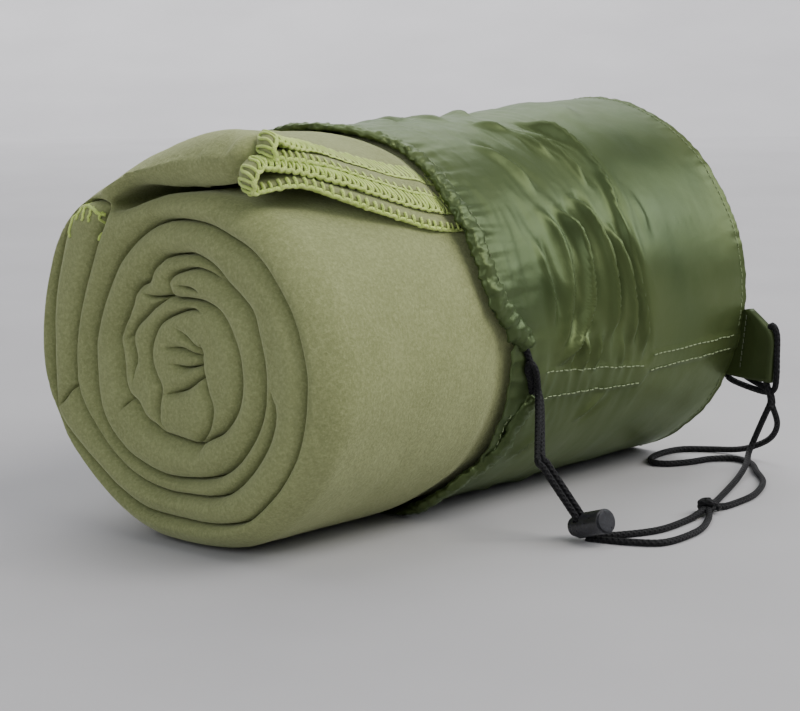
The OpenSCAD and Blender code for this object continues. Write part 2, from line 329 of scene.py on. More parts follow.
def fleece_material():
    """Brushed fleece: a short matted nap with pale fibre tips and slightly darker patches."""
    n = Nodes("fleece")
    nap = n.noise(900, 4, roughness=0.7)
    tufts = n.noise(520, 3, roughness=0.6)
    patches = n.noise(40, 3)
    base = n.ramp(patches, (0.3, (0.235, 0.258, 0.108)), (0.7, (0.29, 0.315, 0.14)))
    base = n.mix(n.ramp(nap, (0.35, grey(0)), (0.75, grey(1))), base, (0.37, 0.395, 0.19))
    base = n.mix(n.ramp(tufts, (0.4, grey(0.34)), (0.62, grey(0))), base, (0.17, 0.195, 0.08))
    normal = n.bump(tufts, 0.35, 0.0009)
    normal = n.bump(nap, 0.5, 0.0005, normal)
    return n.finish(
        Base_Color=base, Roughness=0.95, Normal=normal, Sheen_Weight=0.55, Sheen_Roughness=0.45,
        Sheen_Tint=(0.76, 0.80, 0.5), Specular_IOR_Level=0.1,
    )


def yarn_material():
    """Soft twisted yarn in lime green."""
    n = Nodes("yarn")
    twist = n.math("ADD", n.math("MULTIPLY", n.attribute("along"), 5.0), n.attribute("around"))
    plies = n.math("SINE", n.math("MULTIPLY", twist, 2.0))
    fuzz = n.noise(2500, 3)
    base = n.ramp(n.noise(300, 2), (0.3, (0.62, 0.80, 0.17)), (0.7, (0.80, 0.93, 0.29)))
    base = n.mix(n.ramp(plies, (0.0, grey(0.5)), (0.5, grey(0))), base, (0.46, 0.60, 0.15))
    normal = n.bump(n.math("ADD", plies, fuzz), 0.5, 0.0003)
    return n.finish(
        Base_Color=base, Roughness=0.85, Normal=normal, Sheen_Weight=0.25, Sheen_Roughness=0.4,
        Specular_IOR_Level=0.2,
    )


def nylon_material(name="nylon", tone=1.0):
    """Satin woven nylon: dark, with a broad soft sheen, faint crinkles and a very fine weave."""
    n = Nodes(name)
    dark, light = shade((0.050, 0.076, 0.023), tone), shade((0.088, 0.116, 0.035), tone)
    base = n.ramp(n.noise(11, 3), (0.35, dark), (0.65, light))
    rough = n.ramp(n.noise(45, 3), (0.3, grey(0.36)), (0.7, grey(0.46)))
    creases = n.noise(55, 5, roughness=0.55)
    crinkles = n.noise(240, 3, roughness=0.6)
    weave = n.math("MULTIPLY", n.wave(2600, "X"), n.wave(2600, "Z"))
    normal = n.bump(creases, 0.16, 0.002)
    normal = n.bump(crinkles, 0.12, 0.0004, normal)
    normal = n.bump(weave, 0.08, 0.00006, normal)
    return n.finish(
        Base_Color=base, Roughness=rough, Normal=normal, Sheen_Weight=0.05, Sheen_Roughness=0.5,
        Sheen_Tint=(0.6, 0.85, 0.5), Specular_IOR_Level=0.6, Specular_Tint=(0.84, 1.0, 0.74),
        Metallic=0.45,
    )


def thread_material(name="thread", tone=1.0):
    """Sewing thread in a pale green."""
    n = Nodes(name)
    dark, light = shade((0.19, 0.25, 0.11), tone), shade((0.29, 0.36, 0.17), tone)
    base = n.ramp(n.noise(900, 2), (0.35, dark), (0.65, light))
    twist = n.bump(n.noise(3500, 2), 0.4, 0.0001)
    return n.finish(Base_Color=base, Roughness=0.6, Normal=twist, Sheen_Weight=0.3)


BRAID_ALONG = 2.4   # how fast the braid's strands wind, in radians for each mm
BRAID_AROUND = 4.0  # how many strands wind each way


def cord_material():
    """Black braided cord; the braid follows the cord's own length."""
    n = Nodes("cord")
    along = n.math("MULTIPLY", n.attribute("along"), BRAID_ALONG)
    around = n.math("MULTIPLY", n.attribute("around"), BRAID_AROUND)
    left, right = (n.math("SINE", n.math(way, along, around)) for way in ("ADD", "SUBTRACT"))
    braid = n.math("MAXIMUM", left, right)
    base = n.ramp(braid, (0.0, (0.003, 0.003, 0.0034)), (0.9, (0.010, 0.0097, 0.0107)))
    dust = n.ramp(n.noise(2200, 3), (0.5, grey(0)), (0.8, grey(0.2)))
    base = n.mix(dust, base, (0.03, 0.03, 0.035))
    return n.finish(
        Base_Color=base, Roughness=0.62, Normal=n.bump(braid, 0.7, 0.0003), Sheen_Weight=0.03,
        Sheen_Roughness=0.4, Specular_IOR_Level=0.22,
    )


def plastic_material():
    """Black moulded plastic, lightly scuffed, with softened edges."""
    n = Nodes("lock_plastic")
    scuffs = n.noise(700, 5, roughness=0.7)
    base = n.ramp(scuffs, (0.45, (0.014, 0.014, 0.017)), (0.8, (0.05, 0.052, 0.06)))
    rough = n.ramp(n.noise(300, 3), (0.3, grey(0.24)), (0.7, grey(0.42)))
    edge = n.add("ShaderNodeBevel", {"Radius": 0.0006}).outputs["Normal"]
    return n.finish(
        Base_Color=base, Roughness=rough, Normal=n.bump(scuffs, 0.08, 0.0002, edge), Coat_Weight=0.25,
        Coat_Roughness=0.25,
    )


def steel_material():
    """Drawn spring wire."""
    n = Nodes("spring_steel")
    base = n.ramp(n.noise(900, 3), (0.3, (0.45, 0.45, 0.46)), (0.7, (0.62, 0.62, 0.64)))
    scratches = n.bump(n.noise(3000, 2), 0.1, 0.0001)
    return n.finish(Base_Color=base, Metallic=1.0, Roughness=0.32, Normal=scratches)


# ---------- fleece: section of the roll at its open end ----------

# Outline of the roll and its loose flap: y, z, radius of the rounded edge, and 1 where
# the point belongs to the flap. It runs from the flap's top round the roll and back
# through the gap below the flap.
OUTLINE = [
    (-33, 177.5, 16, 1), (-20, 178.8, 18, 1), (3, 175.6, 18, 1), (27, 167.8, 16, 1), (47, 156.5, 13, 1),
    (60, 147.8, 10, 1), (68.5, 140, 7, 0), (77.5, 127, 7, 0), (85, 107, 7, 0), (88.5, 84, 7, 0),
    (86, 62, 7, 0), (76.5, 41, 8, 0), (60, 21, 13, 0), (40, 7.5, 14, 0), (20, 1, 14, 0),
    (0, 0, 14, 0), (-20, 1, 15, 0), (-40, 8, 16, 0), (-60, 22, 17, 0), (-77, 43, 17, 0),
    (-86, 65, 17, 0), (-88, 86, 17, 0), (-84, 109, 17, 0), (-73.5, 128.5, 17, 0), (-58, 143.5, 15, 0),
    (-39, 152, 12, 0), (-19, 155.3, 9, 0), (0, 154, 8, 0), (16, 150.3, 8, 0), (27, 146.3, 6, 0),
    (34, 143.8, 4, 0), (38.5, 143.6, 3, 0), (40.5, 145.5, 3, 0), (38.5, 148.8, 4, 1), (30, 153.8, 7, 1),
    (20, 155.9, 9, 1), (0, 156.6, 9, 1), (-18, 157.4, 9, 1), (-33, 158.9, 10, 1), (-41, 163.5, 11, 1),
    (-44, 169, 11, 1), (-40, 175, 11, 1),
]

# Creases between the folded layers: points (y, z), depth of the slit, radius of its
# shoulders, and whether it fades out at its start and at its end.
CREASES = {
    "outer_turn": (
        [(42, 145.8), (47, 147.2), (55, 146.8), (62.5, 143), (68.5, 136), (73.5, 124), (78.7, 101.7),
         (79.7, 81.7), (79.7, 60), (77.5, 48), (66.7, 38), (51.7, 28), (38, 20), (21.7, 14), (0, 13),
         (-20, 13.7), (-36.7, 17.5), (-50, 26.7), (-63, 41), (-71, 57), (-75, 78), (-74, 92), (-68, 108),
         (-58, 122), (-46.7, 132), (-33, 138), (-20, 142), (-5, 143), (10, 141), (23, 134), (35, 123),
         (43, 110), (50, 95), (53, 82), (51.7, 63), (46.7, 50), (38, 41), (26.7, 35), (10, 31),
         (-6.7, 31.7), (-21.7, 35), (-35, 43), (-45, 55), (-51, 68), (-52.5, 82), (-51, 92),
         (-48.8, 99.5), (-45.5, 107.3), (-40, 112.5), (-32, 118), (-25, 123.5), (-18, 127), (-10, 129),
         (0, 128), (6.7, 126.7), (11, 124), (15, 120.6), (17.3, 115.6), (21.7, 113.4), (26, 109.5),
         (27.8, 105), (31, 99), (34, 94), (36, 88.4), (35, 83), (34, 77), (33.4, 70.6), (31.7, 65.6),
         (29.5, 62.5), (25.6, 60.5), (22.8, 57.3), (19.5, 54), (13.4, 51.7), (9, 49.6), (4, 49),
         (-2, 48.4), (-7.7, 47.8), (-12.7, 47.3)],
        8, 7.5, False, False),
    "inner_turn": (
        [(42, 143.6), (44.5, 138.5), (49.5, 129), (55.5, 115), (61.7, 98), (65, 82), (65, 70), (64, 64),
         (60, 55), (51.7, 45), (40, 35), (26.7, 28), (10, 24.5), (-5, 24.5), (-23, 26.5), (-37, 34),
         (-50, 47.5), (-57, 62), (-58.7, 79)],
        7, 6.5, False, True),
    "tucked_tip": ([(64, 65), (70, 58.5), (76, 52)], 5, 4, False, True),
    "curled_fold": (
        [(-31, 118.5), (-25.5, 120.8), (-18.8, 122.8), (-12.7, 123.4), (-6, 122.3), (0.6, 120),
         (3.9, 116.5), (2.6, 111.5)],
        7, 5.5, True, False),
    "curl_inner": ([(-1.6, 115.6), (-7, 115.2), (-12, 114.8), (-18, 113.6)], 4, 3, True, True),
    "core_right": (
        [(-12.7, 47.3), (-18.8, 51.2), (-26.6, 55), (-32, 60), (-36.6, 66.7), (-38.8, 74), (-39.4, 81.7),
         (-38.3, 89), (-36, 95), (-32.7, 100.6), (-29, 105), (-24.4, 107.8), (-18, 109.6), (-10, 110),
         (-2.2, 109.6), (4, 110), (12.3, 108.8), (20, 110.5)],
        7, 6, False, True),
    "recess": ([(3.5, 111), (7.8, 107.8), (12.3, 105), (17.8, 100.6), (23.4, 96), (26, 91.7), (26, 87.3),
                (24.5, 81.7), (25, 76), (24.5, 70)], 9, 5.5, False, True),
    "recess_spur": ([(25.5, 92.5), (29.5, 88.5)], 3.5, 3, False, True),
    "left_tick": ([(30, 62.5), (34, 57)], 4, 3.5, False, True),
    "oval": ([(-20, 105), (-12, 106), (-2.6, 104), (7.9, 98.7), (13.6, 90), (14.5, 81.2), (11.6, 74.3),
              (9.0, 69.7), (10.5, 61.3), (9.5, 55), (4, 50.5)], 6, 5, True, True),
    "crescent": ([(-12, 48.6), (-18.9, 55.3), (-21.9, 64.3), (-19.6, 71.1), (-17.5, 78), (-15.4, 83.5)],
                 7, 5.5, False, False),
    "pinch": ([(-15.4, 83.5), (-15.5, 87.8), (-18, 93)], 16, 7, False, True),
    "fan_high": ([(-15.2, 88.9), (-8.5, 93.2), (-1.5, 98.2)], 2, 4.5, False, True),
    "fan_middle": ([(-14.6, 86.2), (-4.3, 88.4), (7, 87.4)], 3, 5, False, True),
    "fan_low": ([(-14.8, 82.6), (-6.2, 80.4), (3, 81.8)], 4, 5, False, True),
    "lobe": ([(-16.5, 78), (-6, 71.4), (3, 68.2), (8.5, 67.5)], 4, 5.5, False, True),
}
SHOULDER_ROWS = (0.35, 0.9, 1.8, 3.2, 5.0)           # rows of points beside each crease
EDGE_ROWS = (0.45, 1.0, 1.8, 3.0, 4.5, 6.5, 9.0)     # and beside the outline
SLIT_HALF = 0.6      # half of the width of the slit at the bottom of a crease
LONGEST_FADE = 12.0  # length over which a crease fades out


def crease_profile(gap, slit, radius, strength):
    """Depth of a fold at a distance from its crease: two round shoulders and a narrow slit."""
    t = np.clip(1 - gap / radius, 0, 1)
    shoulder = radius * (0.45 * t * t + 0.55 * (1 - np.sqrt(1 - t * t * 0.998)))
    return strength * (shoulder + slit * np.clip(1 - gap / SLIT_HALF, 0, 1))


def face_depth(points, outline, creases):
    """How far the open end is set back at each point (y, z) of the section, in mm.

    The cubes of the depths are added, so that creases run softly into each other."""
    total = np.zeros(len(points))
    for path, slit, radius, fade_in, fade_out in creases:
        gap, where = distance_to_path(points, path)
        length = distances(path)[-1]
        fade = min(LONGEST_FADE, length / 2)
        strength = np.ones(len(points))
        if fade_in:
            strength *= smoothstep(where / fade)
        if fade_out:
            strength *= smoothstep((length - where) / fade)
        total += crease_profile(gap, slit, radius, strength) ** 3
    gap, where = distance_to_path(points, outline[:, :2])
    radius = np.interp(where, distances(outline[:, :2]), outline[:, 2])
    t = np.clip(1 - gap / radius, 0, 1)
    total += (radius * (0.35 * t * t + 0.8 * (1 - np.sqrt(1 - t * t)))) ** 3
    return np.cbrt(total)


def rows_beside(path, offsets):
    """Rows of points on both sides of a path, each with the room that its points need."""
    tangent = unit(np.gradient(path, axis=0))
    normal = np.column_stack([-tangent[:, 1], tangent[:, 0]])
    return [(path + side * offset * normal, offset * 0.8) for offset in offsets for side in (-1, 1)]


def hex_grid(ring, spacing):
    """Points of an even triangular grid over the box round a closed outline."""
    low, high = ring.min(0), ring.max(0)
    across = np.arange(low[0], high[0], spacing)
    rows = np.arange(low[1], high[1], spacing * 0.866)
    return np.vstack([
        np.column_stack([across + (i % 2) * spacing / 2, np.full(len(across), z)])
        for i, z in enumerate(rows)
    ])


def end_face(outline, creases, spacing, step):
    """Triangles of one end of the roll, with edges that follow every crease.

    Returns points (y, z), triangles, and the depth of each point. The outline's own
    points come first and keep their order."""
    ring = outline[:-1, :2]
    paths = [crease[0] for crease in creases]
    extra = []
    for path in paths:
        extra += rows_beside(path, SHOULDER_ROWS)
    extra += rows_beside(outline[:, :2], EDGE_ROWS)
    extra.append((hex_grid(ring, spacing), SHOULDER_ROWS[-1] + 0.6))
    points = np.vstack([places for places, _ in extra])
    room = np.concatenate([np.full(len(places), needed) for places, needed in extra])
    keep = inside(points, ring)
    points, room = points[keep], room[keep]
    nearest = distance_to_path(points, outline[:, :2])[0]
    for path in paths:
        nearest = np.minimum(nearest, distance_to_path(points, path)[0])
    points = thin_out(points[nearest > room * 0.98], step * 0.32)
    count = len(ring)
    edges = [(i, (i + 1) % count) for i in range(count)]
    for path in paths:
        edges.extend((count + i, count + i + 1) for i in range(len(path) - 1))
        count += len(path)
    everything = [Vector(p) for p in np.vstack([ring, *paths, points])]
    verts, _, faces = geometry.delaunay_2d_cdt(everything, edges, [list(range(len(ring)))], 1, 1e-3)[:3]
    flat = np.array([tuple(v) for v in verts])
    return flat, [tuple(f) for f in faces], face_depth(flat, outline, creases)


def thin_out(points, room):
    """Drops points that lie closer than room to one that is kept."""
    taken = {}
    kept = []
    for p in points:
        key = (int(p[0] // room), int(p[1] // room))
        near = [
            q
            for i in (-1, 0, 1)
            for j in (-1, 0, 1)
            for q in taken.get((key[0] + i, key[1] + j), ())
        ]
        if all((p[0] - q[0]) ** 2 + (p[1] - q[1]) ** 2 > room * room for q in near):
            taken.setdefault(key, []).append(p)
            kept.append(p)
    return np.array(kept)


# ---------- fleece: shape along the roll ----------

FLAP_END = 26.0     # angle of the flap's end in OUTLINE, in degrees past the top
FLAP_LOW_Z = 157.2  # the flap's points of an end face lie above this height,
FLAP_REACH_Y = 40   # and short of this place along Y
KNEE_MM = 6         # depth over which the roll gives way to the sack
HIDDEN_X = -34      # from here on the roll is in the sack and needs fewer sections


def flap_angle(x):
    """Where the thick part of the flap ends along the roll."""
    return soft_interp(x, [-150, -136, -118, -95, -60, -45, 150], [26, 24, 21, 24, 31, 33, 33])


def rest_on_floor(z, low, soft):
    """Heights that come to rest softly at the low one."""
    return low + np.where(z - low < soft, soft * np.exp((z - low - soft) / soft), z - low)


def squeeze(verts):
    """The roll narrows where the sack holds it, and is flat where it rests on the floor."""
    x, y, z = verts.T
    angle = np.degrees(np.arctan2(-y, z - AXIS_MM))
    held = smoothstep((x - hem_line(angle) + 14) / 13)
    radius = np.hypot(y, z - AXIS_MM)
    free = soft_interp(x, [-150, -125, -95, -68], [SACK_R + 25, SACK_R + 16, SACK_R + 6, SACK_R + 2])
    limit = free + (SACK_R - 1.9 - free) * held
    knee = limit - KNEE_MM
    over = np.maximum(radius - knee, 0)
    wanted = np.where(radius > knee, knee + KNEE_MM * np.tanh(over / KNEE_MM), radius)
    scale = wanted / np.maximum(radius, TINY)
    z = rest_on_floor(AXIS_MM + (z - AXIS_MM) * scale, 0.2 + 2.2 * held, 3)
    return np.column_stack([x, y * scale, z])


def lift_corner(verts, weight):
    """The flap's corner at the open end curls up a little."""
    x, y, z = verts.T
    near = np.exp(-(((x - OPEN_MM) / 20.0) ** 2))
    upper = smoothstep((z - 152) / 24)
    return np.column_stack([x, y, z + 5.0 * weight * near * upper * smoothstep((24 - y) / 50)])


def soften(verts, normal_out, strength=1.0):
    """Small irregular swellings of soft cloth, along the given directions."""
    wide = wobble(verts, 34, 1) * 0.9
    middle = wobble(verts, 11, 2) * 0.28
    fine = wobble(verts, 2.6, 3) * 0.10
    return verts + normal_out * ((wide + middle + fine) * strength)[:, None]


def flap_share(flat):
    """1 for the points of an end face that belong to the flap."""
    return ((flat[:, 1] > FLAP_LOW_Z) & (flat[:, 0] < FLAP_REACH_Y)).astype(float)


def section_at(x, flat, flap):
    """Section points (y, z) placed at x, with the flap's end moved to where it lies there."""
    radius = np.hypot(flat[:, 0], flat[:, 1] - AXIS_MM)
    angle = np.degrees(np.arctan2(-flat[:, 0], flat[:, 1] - AXIS_MM))
    moved = np.where((flap > 0.5) & (angle > 0), angle * flap_angle(x) / FLAP_END, angle)
    return on_roll(radius, moved, x)


def outward_of(ring):
    """Direction away from the roll at each point of its closed section."""
    closed = np.vstack([ring[-1:, :2], ring[:, :2], ring[:1, :2]])
    slope = np.gradient(closed, axis=0)[1:-1]
    return unit(np.column_stack([np.zeros(len(ring)), slope[:, 1], -slope[:, 0]]))


def open_end_facing(flat, outline, outward):
    """Direction in which the open end swells: out of the face, and outwards at its edge."""
    gap, where = distance_to_path(flat, outline[:, :2])
    nearest = np.searchsorted(distances(outline[:, :2]), where).clip(0, len(outward) - 1)
    edge_share = np.exp(-((gap / 5) ** 2))[:, None]
    return np.array((-1.0, 0.0, 0.0)) * (1 - edge_share) + outward[nearest] * edge_share


def wall_sections(ring, first_x):
    """Sections from just behind the creased open end to just before the shut end."""
    shown = np.arange(OPEN_MM + 27, HIDDEN_X, 2.4)
    hidden = np.arange(HIDDEN_X, SHUT_MM - 16, 7.0)
    place = [first_x + (shown[0] - first_x) * share for share in (0.12, 0.3, 0.55, 0.8)]
    place += [np.full(len(ring), x) for x in (*shown, *hidden)]
    return [section_at(x, ring[:, :2], ring[:, 3]) for x in place]


def fleece_roll(material):
    """The rolled blanket: its creased open end, its sides, and the plainer end in the sack."""
    outline = smooth_path(OUTLINE, 1.7, closed=True)
    creases = [(smooth_path(crease[0], 1.3), *crease[1:]) for crease in CREASES.values()]
    ring = outline[:-1]
    count = len(ring)
    open_flat, open_faces, open_depth = end_face(outline, creases, 2.0, 1.3)
    shut_flat, shut_faces, shut_depth = end_face(outline, creases[:2], 3.2, 1.7)
    open_flap, shut_flap = flap_share(open_flat), flap_share(shut_flat)
    open_verts = section_at(OPEN_MM + open_depth, open_flat, open_flap)
    shut_verts = section_at(SHUT_MM - 1.2 - shut_depth, shut_flat, shut_flap)
    rows = wall_sections(ring, OPEN_MM + open_depth[:count])
    outward = outward_of(ring)
    flap = (ring[:, 3] > 0.5).astype(float)
    weights = np.concatenate([open_flap, np.tile(flap, len(rows)), shut_flap])
    facing = np.vstack([
        open_end_facing(open_flat, outline, outward),
        np.tile(outward, (len(rows), 1)),
        np.tile((1.0, 0.0, 0.0), (len(shut_verts), 1)),
    ])
    verts = lift_corner(np.vstack([open_verts, *rows, shut_verts]), weights)
    verts = squeeze(soften(verts, facing))
    walls_at = len(open_verts)
    shut_at = walls_at + len(rows) * count
    walls = joining_faces(0, walls_at, count)
    walls += grid_faces(len(rows), count, closed_cols=True, first=walls_at)
    walls += joining_faces(shut_at - count, shut_at, count)
    faces = [f[::-1] for f in open_faces + walls]
    faces += [tuple(i + shut_at for i in f) for f in shut_faces]
    return make_object("fleece_roll", verts, faces, material)


# ---------- fleece: the four stitched layers at the hem ----------

LAYER_T = 3.4         # thickness of one layer
STITCH_PITCH = 4.0
YARN_R = 0.75
TUCKED_YARN_R = 0.68
TUCKED_STITCHES = 5
HEM_PAIRS = {"upper": (0, 1), "lower": (2, 3)}  # layers that are joined at the open end
UPPER_PAIR_SHORT = 9  # how much sooner the upper pair ends
# Angle and radius of the hem's edge at each x, for its top layer and its lowest one
HEM_X = [-145, -124, -102, -80, -60, -45, 150]
HEM_TOP = ([27, 28, 27, 32, 37, 38, 38], [110, 101, 98, 95.5, 94, 93, 93])
HEM_LOW = ([33, 34.5, 42, 48, 53, 54, 54], [86.5, 91, 89, 87, 85.5, 84.8, 84.8])
LAYER_SHIFT = (0, -2.2, 2.6, 0)  # how far each layer leaves its even place at the open end
TUCK = (90.5, 88, 85.5, 83)      # radius of each layer where it disappears in the flap
# Places across a layer, from the hem inwards; and its rounded edge, in halves of LAYER_T
HEM_INWARD = (30, 24, 18, 13, 9, 6, 4, 2.6)
HEM_NOSE = ((1.2, 0.82), (0.3, 0.45), (0, 0), (0.3, -0.45), (1.2, -0.82))


def hem_row(row, x):
    """Angle and radius of the edge of one hem layer, counted from the top one."""
    share = row / 3
    angle, radius = (
        soft_interp(x, HEM_X, top) * (1 - share) + soft_interp(x, HEM_X, low) * share
        for top, low in zip(HEM_TOP, HEM_LOW)
    )
    near_end = soft_interp(x, HEM_X[:2], [1, 0])
    return angle, radius + near_end * LAYER_SHIFT[row]


def hem_edge(upper, lower):
    """Edge of two layers joined by a fold at the open end: x, angle, radius, and layer share."""
    end = HEM_X[0] + (UPPER_PAIR_SHORT if upper == 0 else 0)
    xs = np.arange(SHUT_MM - 12, end, -1.6)
    there = np.column_stack([xs, *hem_row(upper, xs), np.zeros(len(xs))])
    back = np.column_stack([xs, *hem_row(lower, xs), np.ones(len(xs))])[::-1]
    top, low = there[-1], back[0]
    middle = (top + low) / 2
    bulb = (top[2] - low[2]) / 2
    turn = []
    for a in np.radians(np.arange(15, 180, 15)):
        swell = 1 + 0.25 * math.sin(a)
        share = (1 - math.cos(a)) / 2
        turn.append((
            middle[0] - bulb * 1.1 * math.sin(a),
            top[1] + (low[1] - top[1]) * share + 1.2 * math.sin(a),
            middle[2] + bulb * swell * math.cos(a),
            share,
        ))
    return np.vstack([there, turn, back])


def hem_frame(edge):
    """Outward direction in the (x, radius) plane at each point of a hem edge."""
    slope = unit(np.gradient(edge[:, [0, 2]], axis=0))
    return np.column_stack([slope[:, 1], -slope[:, 0]])


def hem_point(edge, outward, row_tuck, inward, off):
    """Points at a distance inward from the hem's edge and off the middle of the cloth."""
    share = smoothstep(inward / 26.0)
    set_back = 15 * smoothstep((inward - 2) / 24.0) * smoothstep((-122 - edge[:, 0]) / 18)
    radius = edge[:, 2] + (row_tuck - edge[:, 2]) * share
    angle = edge[:, 1] - np.degrees(inward / 92.0)
    return on_roll(radius + off * outward[:, 1], angle, edge[:, 0] + off * outward[:, 0] + set_back)


def hem_pair(part):
    """The edge of two joined layers, its outward direction, and the radius it tucks in at."""
    upper, lower = HEM_PAIRS[part]
    edge = hem_edge(upper, lower)
    tuck = TUCK[upper] + (TUCK[lower] - TUCK[upper]) * edge[:, 3]
    return edge, hem_frame(edge), tuck


def hem_layers(part, material):
    """Two layers of fleece at the hem, one sheet that folds round at the open end."""
    edge, outward, tuck = hem_pair(part)
    half = LAYER_T / 2
    section = [(inward, half) for inward in HEM_INWARD]
    section += [(inward, off * half) for inward, off in HEM_NOSE]
    section += [(inward, -half) for inward in HEM_INWARD[::-1]]
    pull = 0.10 * np.cos(2 * math.pi * distances(edge[:, [0, 2]]) / STITCH_PITCH)
    columns = []
    for inward, off in section:
        pinch = pull * math.exp(-inward / 4.0)
        columns.append(hem_point(edge, outward, tuck, inward + 1.2 * pinch, off * (1 + pinch)))
    verts = np.stack(columns, axis=1).reshape(-1, 3)
    verts = squeeze(soften(verts, np.array((0, 0, 1)), 0.45))
    faces = [f[::-1] for f in grid_faces(len(edge), len(section))]
    return make_object(f"hem_layers_{part}", verts, faces, material)


def stitch_loops(edge, outward, row_tuck, rng):
    """One row of blanket stitch: slanted loops over the cloth's edge and a chain along it."""
    length = distances(edge[:, [0, 2]])
    clear = LAYER_T / 2 + 0.35

    def at(s, inward, off):
        row = np.array([[np.interp(s, length, column) for column in edge.T]])
        out = np.array([[np.interp(s, length, column) for column in outward.T]])
        tuck = np.interp(s, length, row_tuck)
        return hem_point(row, out, tuck, inward, off)[0]

    legs, chain = [], []
    for i in range(int(length[-1] / STITCH_PITCH)):
        s = (i + 0.5) * STITCH_PITCH + rng.uniform(-0.5, 0.5)
        reach = 8.3 + rng.uniform(-1.0, 1.2)
        lean = rng.uniform(1.0, 2.0)
        legs.append([
            at(s - 0.3, 2.0, -clear - 0.2), at(s - 0.2, 0.2, -clear * 0.8), at(s, -0.9, 0.0),
            at(s + 0.2, 0.3, clear * 0.8), at(s + 0.4, 2.4, clear + 0.1),
            at(s + lean * 0.6, reach * 0.62, clear + 0.25), at(s + lean, reach, clear + 0.1),
            at(s + lean + 0.9, reach + 0.3, clear - 0.1), at(s + lean + 1.5, reach * 0.8, clear + 0.1),
            at(s + lean + 1.2, reach * 0.45, clear + 0.15), at(s + 2.4, 1.2, clear + 0.2),
            at(s + 3.0, -0.7, 0.5),
        ])
        chain.append(at(s, -0.95, 0.6 + rng.uniform(-0.3, 0.5)))
        chain.append(at(s + 2.0, -1.15 + rng.uniform(-0.25, 0.25), -0.3 + rng.uniform(-0.4, 0.4)))
    return legs, chain


def make_yarn(name, strands, material, radius):
    """One object from strands of yarn, each a path and its share of the radius."""
    parts = [tube(strand, radius * share, sides=6) for strand, share in strands]
    verts, faces = join_parts(parts)
    along, around = (np.concatenate([part[i] for part in parts]) for i in (2, 3))
    return make_object(name, squeeze(verts), faces, material, {"along": along, "around": around})


def hem_yarn(material):
    """The whip stitches over the edges of both pairs of layers."""
    rng = random.Random(11)
    pieces = []
    for part in HEM_PAIRS:
        legs, chain = stitch_loops(*hem_pair(part), rng)
        strands = [(smooth_path(leg, 0.8), rng.uniform(0.9, 1.1)) for leg in legs]
        strands.append((smooth_path(chain, 0.9), 1.25))
        pieces.append(make_yarn(f"hem_yarn_{part}", strands, material, YARN_R))
    return pieces


def tucked_yarn(roll, material):
    """The few stitches that show on the tucked band's end, laid on the roll's surface."""
    rng = random.Random(5)
    tree = BVHTree.FromObject(roll, bpy.context.evaluated_depsgraph_get())

    def on_face(y, z):
        hit = tree.ray_cast(Vector((OPEN_X - 0.05, y * MM, z * MM)), Vector((1, 0, 0)))[0]
        return [np.array([hit.x / MM - 0.5, y, z])] if hit else []

    def rim_z(y, highest):
        return highest - 0.03 * (y - 54) ** 2

    strands = []
    for i in range(TUCKED_STITCHES):
        y = 45.5 + 4.6 * i
        top = rim_z(y, 144.2)
        foot = top - (10.5 if i in (0, TUCKED_STITCHES - 1) else 4.5) - rng.uniform(0, 2)
        leg = []
        for z in np.linspace(foot, top, 6):
            leg += on_face(y + rng.uniform(-0.6, 0.6), z)
        leg.append(leg[-1] + (4.0, 0.2, 1.2))
        strands.append((smooth_path(leg, 0.7), 1.0))
    rim = []
    for y in np.arange(44, 66, 2):
        rim += on_face(y, rim_z(y, 144.4) + rng.uniform(-0.3, 0.3))
    strands.append((smooth_path(rim, 0.8), 1.3))
    return make_yarn("tucked_hem_yarn", strands, material, TUCKED_YARN_R)


# ---------- sack ----------

# Folds of the sack's cloth: points (x, angle past the top), height, half width.
FOLDS = [
    ([(58, 16), (63, 26), (66, 35), (63, 48), (60, 59), (61, 74), (64, 88), (68, 102)], 4.1, 2.0),
    ([(50, 14), (55, 20), (59, 27), (61, 34)], -1.9, 1.7),
    ([(33, 50), (38, 56), (42, 64), (43, 74), (42, 84), (40, 95)], 4.6, 2.2),
    ([(39, 51), (43, 59), (46, 69), (47, 81), (46, 90)], -2.4, 1.5),
    ([(50, 60), (54, 72), (56, 84), (58, 99)], 3.5, 1.9),
    ([(20, 53), (27, 64), (26, 74), (22, 85), (12, 94), (3, 100)], 4.9, 2.4),
    ([(8, 52), (14, 64), (13, 76), (8, 87), (2, 97)], 2.8, 2.5),
    ([(-4, 61), (-2, 76), (-1, 88)], 2.5, 2.0),
    ([(45, 20), (50, 30), (52, 40), (50, 49)], 2.6, 1.7),
    ([(34, 19), (40, 28), (44, 37)], 2.5, 1.7),
    ([(22, 12), (30, 17), (36, 22)], 2.9, 1.9),
    ([(0, 25), (8, 33), (12, 40), (14, 48)], 2.6, 2.2),
    ([(79, 51), (80, 60), (79, 67)], 1.4, 1.4),
    ([(15, 92), (10, 104)], 2.6, 1.9),
    ([(24, 91), (20, 105)], 2.8, 1.9),
    ([(33, 92), (30, 105)], 2.6, 1.9),
    ([(50, 94), (52, 106)], 2.0, 1.7),
    ([(30, 122), (48, 112)], 1.7, 2.0),
    ([(-8, 132), (8, 122)], 2.0, 2.2),
]
